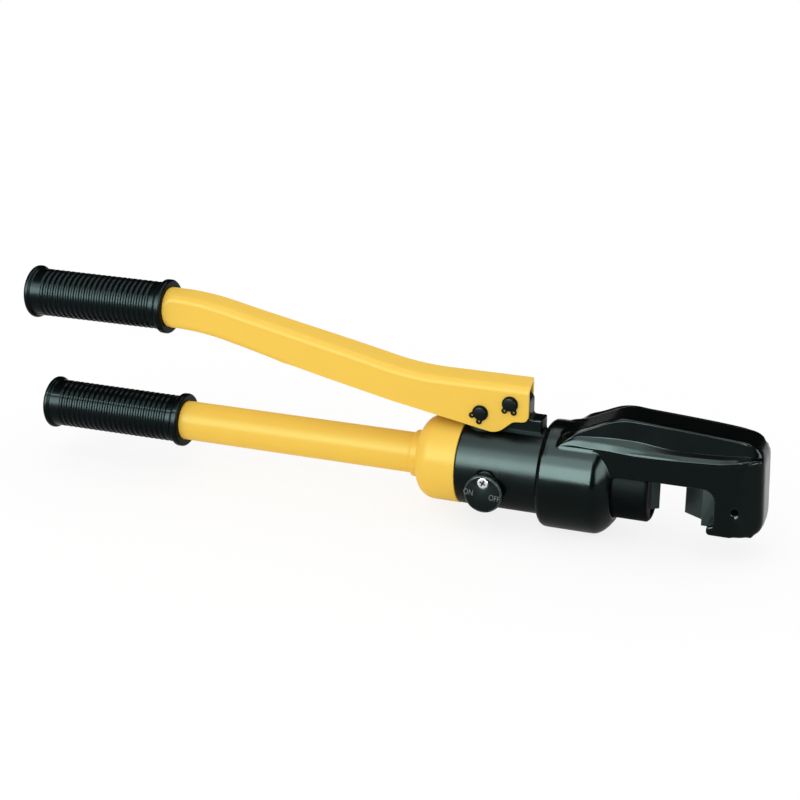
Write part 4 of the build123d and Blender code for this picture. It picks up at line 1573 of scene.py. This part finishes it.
@dataclass
class SocketScrew:
    """A screw with a hexagon socket in its outer end, in millimetres."""

    node: str
    body: Body
    outward: Vector
    flats: float = 2.5
    socket: float = 2.4
    edge: float = 0.35
    edge_steps: int = 3
    segments: int = 40

    def build(self, shop: Workshop) -> None:
        """Turn the screw, press in its socket and dress it.

        Args:
            shop: The workshop.
        """
        low, high = node_box(self.node)
        middle = (low + high) / 2
        size = high - low
        length = abs(size.dot(self.outward))
        least, between, most = sorted(size)
        radius = (least if length > between else most) / 2
        outline = rounded(
            [
                Corner(-length / 2, 0.0),
                Corner(-length / 2, radius, self.edge),
                Corner(length / 2, radius, self.edge),
                Corner(length / 2, 0.0),
            ],
            steps=self.edge_steps,
        )
        turn = self.outward.to_track_quat("X", "Z").to_matrix().to_4x4()
        place = Matrix.Translation(middle * MM) @ turn
        screw = turned(outline, ORIGIN, self.segments)
        bmesh.ops.transform(screw, matrix=place, verts=screw.verts)
        hexagon = bmesh.new()
        across = self.flats / math.cos(math.pi / 6) / 2 * MM
        bmesh.ops.create_cone(
            hexagon,
            cap_ends=True,
            segments=6,
            radius1=across,
            radius2=across,
            depth=2 * self.socket * MM,
        )
        socket = Matrix.Translation((length / 2 * MM, 0.0, 0.0)) @ Matrix.Rotation(math.pi / 2, 4, "Y")
        bmesh.ops.transform(hexagon, matrix=place @ socket, verts=hexagon.verts)
        piece = new_object(f"{self.node}_socket", screw)
        cut_out(piece, hexagon)
        shop.dress(piece, self.body, Coat.RAM_STEEL, self.node)


SOCKET_SCREWS = (
    SocketScrew("fixed_blade_screw", Body.FRAME, Vector((0.0, -1.0, 0.0))),
    SocketScrew("moving_blade_screw", Body.RAM, Vector((0.0, 0.0, -1.0))),
    SocketScrew("relief_screw", Body.FRAME, Vector((0.0, 1.0, 0.0))),
)


@dataclass(frozen=True)
class Mark:
    """A word on the release knob, in millimetres from the middle of its face."""

    word: str
    x: float
    z: float
    tilt: float = -6.0


@dataclass
class ReleaseKnob:
    """The release knob with its marks and its cross recessed screw, in millimetres."""

    node: str = "release_knob"
    screw_node: str = "knob_screw"
    edge: float = 0.5
    letter: float = 4.7
    letter_narrow: float = 0.74
    letter_rise: float = 0.08
    letter_depth: float = 0.02
    marks: tuple[Mark, ...] = (Mark("ON", -11.2, 0.7), Mark("OFF", 9.3, -1.7))
    cross_width: float = 1.25
    cross_length: float = 5.0
    cross_depth: float = 1.1
    # Thickness of the dark piece at the bottom of the cross recess, which is painted shadow.
    painted_shadow: float = 0.85
    cross_turn: float = 28.0
    screw_edge: float = 0.2

    def mark(self, shop: Workshop, mark: Mark) -> None:
        """Print a word on the face of the knob.

        Args:
            shop: The workshop.
            mark: The word and its place.
        """
        low, high = node_box(self.node)
        curve = bpy.data.curves.new(f"knob_mark_{mark.word.lower()}", "FONT")
        curve.body = mark.word
        curve.extrude = self.letter_depth
        text = placed(curve.name, curve)
        data = evaluated(text)
        mesh = opened(data)
        bpy.data.meshes.remove(data)
        bpy.data.objects.remove(text)
        corners = [vert.co.copy() for vert in mesh.verts]
        least = Vector([min(corner[n] for corner in corners) for n in range(3)])
        most = Vector([max(corner[n] for corner in corners) for n in range(3)])
        scale = self.letter / (most.y - least.y)
        bmesh.ops.translate(mesh, verts=mesh.verts, vec=-(least + most) / 2)
        rise = 2 * self.letter_rise / (most.z - least.z)
        bmesh.ops.scale(mesh, verts=mesh.verts, vec=(scale * self.letter_narrow, scale, rise))
        middle = (low + high) / 2
        place = Vector((middle.x + mark.x, low.y, middle.z + mark.z)) * MM
        turn = Matrix.Rotation(math.radians(-mark.tilt), 4, "Y") @ Matrix.Rotation(math.pi / 2, 4, "X")
        stand = Matrix.Translation(place) @ turn @ Matrix.Scale(MM, 4)
        bmesh.ops.transform(mesh, matrix=stand, verts=mesh.verts)
        sew(mesh)
        shop.dress(new_object(f"knob_mark_{mark.word.lower()}", mesh), Body.RELEASE, Coat.MARKING)

    def cross(self, middle: Vector, depth: float) -> bmesh.types.BMesh:
        """Make the shape of the cross recess.

        Args:
            middle: Middle of the cross, in millimetres.
            depth: Its depth, in millimetres.

        Returns:
            Two crossed bars.
        """
        mesh = bmesh.new()
        for turn in (0.0, 90.0):
            spin = Matrix.Rotation(math.radians(self.cross_turn + turn), 4, "Y")
            size = Matrix.Diagonal((self.cross_length * MM, depth * MM, self.cross_width * MM, 1.0))
            bmesh.ops.create_cube(mesh, size=1.0, matrix=Matrix.Translation(middle * MM) @ spin @ size)
        return mesh

    def screw(self, shop: Workshop) -> None:
        """Press the cross into the head of the screw, with a dark piece at its bottom as painted shadow.

        Args:
            shop: The workshop.
        """
        low, high = node_box(self.screw_node)
        top = Vector(((low.x + high.x) / 2, low.y, (low.z + high.z) / 2))
        piece = new_object("knob_screw_cross", rounded_copy(self.screw_node, self.screw_edge))
        cut_out(piece, self.cross(top, 2 * self.cross_depth))
        shop.dress(piece, Body.RELEASE, Coat.ZINC_PLATE, self.screw_node)
        # A dark piece at the bottom of the recess stands for the shade in it: painted shadow.
        bottom = top + Vector((0.0, self.cross_depth - self.painted_shadow / 2, 0.0))
        painted_shadow = new_object("knob_screw_painted_shadow", self.cross(bottom, self.painted_shadow))
        shop.dress(painted_shadow, Body.RELEASE, Coat.BLACKENED_STEEL)

    def build(self, shop: Workshop) -> None:
        """Round the disc, print its marks and fit its screw.

        Args:
            shop: The workshop.
        """
        # The disc's rounded rim gets the knob paint's lighter edge colour, a painted highlight as well as
        # wear.
        RoundedPart(self.node, Body.RELEASE, Coat.KNOB_PAINT, self.edge).build(shop)
        for mark in self.marks:
            self.mark(shop, mark)
        self.screw(shop)


class Use(Enum):
    """What a lamp is for."""

    BODY_COLOUR = "body colour"
    GLOSS = "gloss"


@dataclass(frozen=True)
class Lamp:
    """A soft lamp that faces a point of the tool, in metres."""

    name: str
    use: Use
    place: tuple[float, float, float]
    aim: tuple[float, float, float]
    size: tuple[float, float]
    brightness: float

    def hang(self) -> None:
        """Hang the lamp and turn it to its point."""
        data = bpy.data.lights.new(self.name, "AREA")
        data.shape = "RECTANGLE"
        data.size, data.size_y = self.size
        data.energy = self.brightness * math.pi * self.size[0] * self.size[1]
        lamp = placed(self.name, data)
        place = Vector(self.place)
        turn = (Vector(self.aim) - place).to_track_quat("-Z", "Y")
        lamp.matrix_world = Matrix.Translation(place) @ turn.to_matrix().to_4x4()
        lamp.visible_diffuse = self.use is Use.BODY_COLOUR
        lamp.visible_glossy = self.use is Use.GLOSS


LAMPS = (
    Lamp("key_softbox", Use.BODY_COLOUR, (-0.1, -1.3, 1.0), (0.2, 0.0, 0.03), (1.4, 0.8), 0.9),
    Lamp("low_gloss_box", Use.GLOSS, (-0.35, -1.5, 0.65), (-0.35, 0.0, 0.03), (1.8, 0.78), 46.0),
    Lamp("high_gloss_box", Use.GLOSS, (-0.35, -1.11, 1.18), (-0.35, 0.0, 0.03), (1.8, 0.56), 22.0),
    Lamp("top_gloss_box", Use.GLOSS, (0.4, -0.43, 1.43), (0.4, -0.42, 0.03), (1.2, 1.1), 9.5),
    Lamp("back_gloss_box", Use.GLOSS, (0.4, 0.6, 1.43), (0.4, 0.61, 0.03), (1.2, 0.98), 5.0),
    Lamp("side_gloss_box", Use.GLOSS, (1.87, -0.39, 0.58), (0.42, 0.0, 0.03), (1.5, 0.8), 20.0),
)


@dataclass
class Studio:
    """The floor, the room, the lamps and the camera.

    The camera's place is in millimetres, and the floor's sizes are in metres.
    """

    camera_place: tuple[float, float, float] = (663.21, -1106.29, 488.61)
    camera_right: tuple[float, float, float] = (0.93659, 0.35044, 0.0)
    camera_up: tuple[float, float, float] = (-0.12386, 0.33103, 0.93546)
    camera_back: tuple[float, float, float] = (0.32782, -0.87614, 0.35344)
    focal_pixels: float = 1624.89
    image_pixels: float = 800.0
    sensor: float = 36.0
    clip_start: float = 0.01
    clip_end: float = 50.0
    floor_reach: float = 20.0
    floor_colour: tuple[float, float, float, float] = (0.95, 0.95, 0.95, 1.0)
    white: tuple[float, float, float, float] = (1.0, 1.0, 1.0, 1.0)
    middle: tuple[float, float, float] = (0.23, 0.0, 0.0)
    near_share: float = 0.82
    near_mirrored: float = 0.1
    near_reach: float = 0.35
    far_reach: float = 0.8
    room_light: float = 1.0
    room_gloss: float = 0.02

    def camera(self) -> None:
        """Stand the camera where the photograph was taken from."""
        data = bpy.data.cameras.new("camera")
        data.sensor_width = self.sensor
        data.lens = self.focal_pixels * self.sensor / self.image_pixels
        data.clip_start = self.clip_start
        data.clip_end = self.clip_end
        camera = placed("camera", data)
        turn = Matrix((self.camera_right, self.camera_up, self.camera_back)).transposed().to_4x4()
        camera.matrix_world = Matrix.Translation(Vector(self.camera_place) * MM) @ turn
        bpy.context.scene.camera = camera

    def floor(self) -> None:
        """Lay the white floor below the tool, which keeps the tool's shadow near it."""
        mesh = bmesh.new()
        bmesh.ops.create_grid(mesh, x_segments=1, y_segments=1, size=self.floor_reach)
        bmesh.ops.translate(mesh, verts=mesh.verts, vec=(0.0, 0.0, CAD_BOX[0][2]))
        floor = new_object("floor", mesh)
        material, nodes = bare_material("white_floor")
        path = nodes.add("ShaderNodeLightPath").outputs
        mirrored = nodes.math("MAXIMUM", path["Is Glossy Ray"], path["Is Transmission Ray"])
        away = nodes.add("ShaderNodeVectorMath")
        away.operation = "DISTANCE"
        nodes.put(away, 0, nodes.add("ShaderNodeTexCoord").outputs["Object"])
        nodes.put(away, 1, self.middle)
        far = nodes.span(away.outputs["Value"], 0.0, 1.0, self.near_reach, self.far_reach)
        # The floor turns white away from the tool. Near the tool, the camera still sees some of its shadow,
        # and what the tool mirrors stays dark.
        seen = nodes.math("MULTIPLY", path["Is Camera Ray"], nodes.span(far, self.near_share, 1.0))
        mirror = nodes.math("MULTIPLY", mirrored, nodes.span(far, self.near_mirrored, 1.0))
        matte = nodes.add("ShaderNodeBsdfDiffuse", Color=self.floor_colour)
        white = nodes.add("ShaderNodeEmission", Color=self.white, Strength=1.0)
        mixed = nodes.add("ShaderNodeMixShader", Fac=nodes.math("MAXIMUM", seen, mirror))
        nodes.put(mixed, 1, matte.outputs[0])
        nodes.put(mixed, 2, white.outputs[0])
        nodes.add("ShaderNodeOutputMaterial", Surface=mixed.outputs[0])
        floor.data.materials.append(material)

    def room(self) -> None:
        """Fill the room with an even light, which gloss hardly shows."""
        world = bpy.data.worlds.new("room")
        world.use_nodes = True
        nodes = NodeTree(world.node_tree)
        background = world.node_tree.nodes["Background"]
        glossy = nodes.add("ShaderNodeLightPath").outputs["Is Glossy Ray"]
        background.inputs["Color"].default_value = self.white
        nodes.put(background, "Strength", nodes.span(glossy, self.room_light, self.room_gloss))
        bpy.context.scene.world = world

    def build(self) -> None:
        """Set up the whole studio."""
        self.camera()
        self.floor()
        self.room()
        for lamp in LAMPS:
            lamp.hang()
        bpy.context.scene.view_settings.view_transform = "Standard"


def main() -> None:
    """Build every piece of the tool, then the studio."""
    logging.basicConfig(level=logging.INFO, format="%(name)s: %(message)s")
    shop = Workshop()
    shop.dress_nodes()
    RubberGrip("fixed_grip_sleeve", "handle_grip", Body.FRAME, seams=(37.0, 217.0)).build(shop)
    RubberGrip("lever_grip_sleeve", "lever_grip", Body.LEVER, seams=(130.0, 310.0)).build(shop)
    PumpLever().build(shop)
    ReservoirCollar().build(shop)
    HandleTube().build(shop)
    for part in (*CAST_PARTS, *ROUNDED_PARTS, *SOCKET_SCREWS):
        part.build(shop)
    HeadWebs().build(shop)
    Circlips().build(shop)
    CoilSprings().build(shop)
    ReleaseKnob().build(shop)
    Studio().build()


if __name__ == "__main__":
    main()
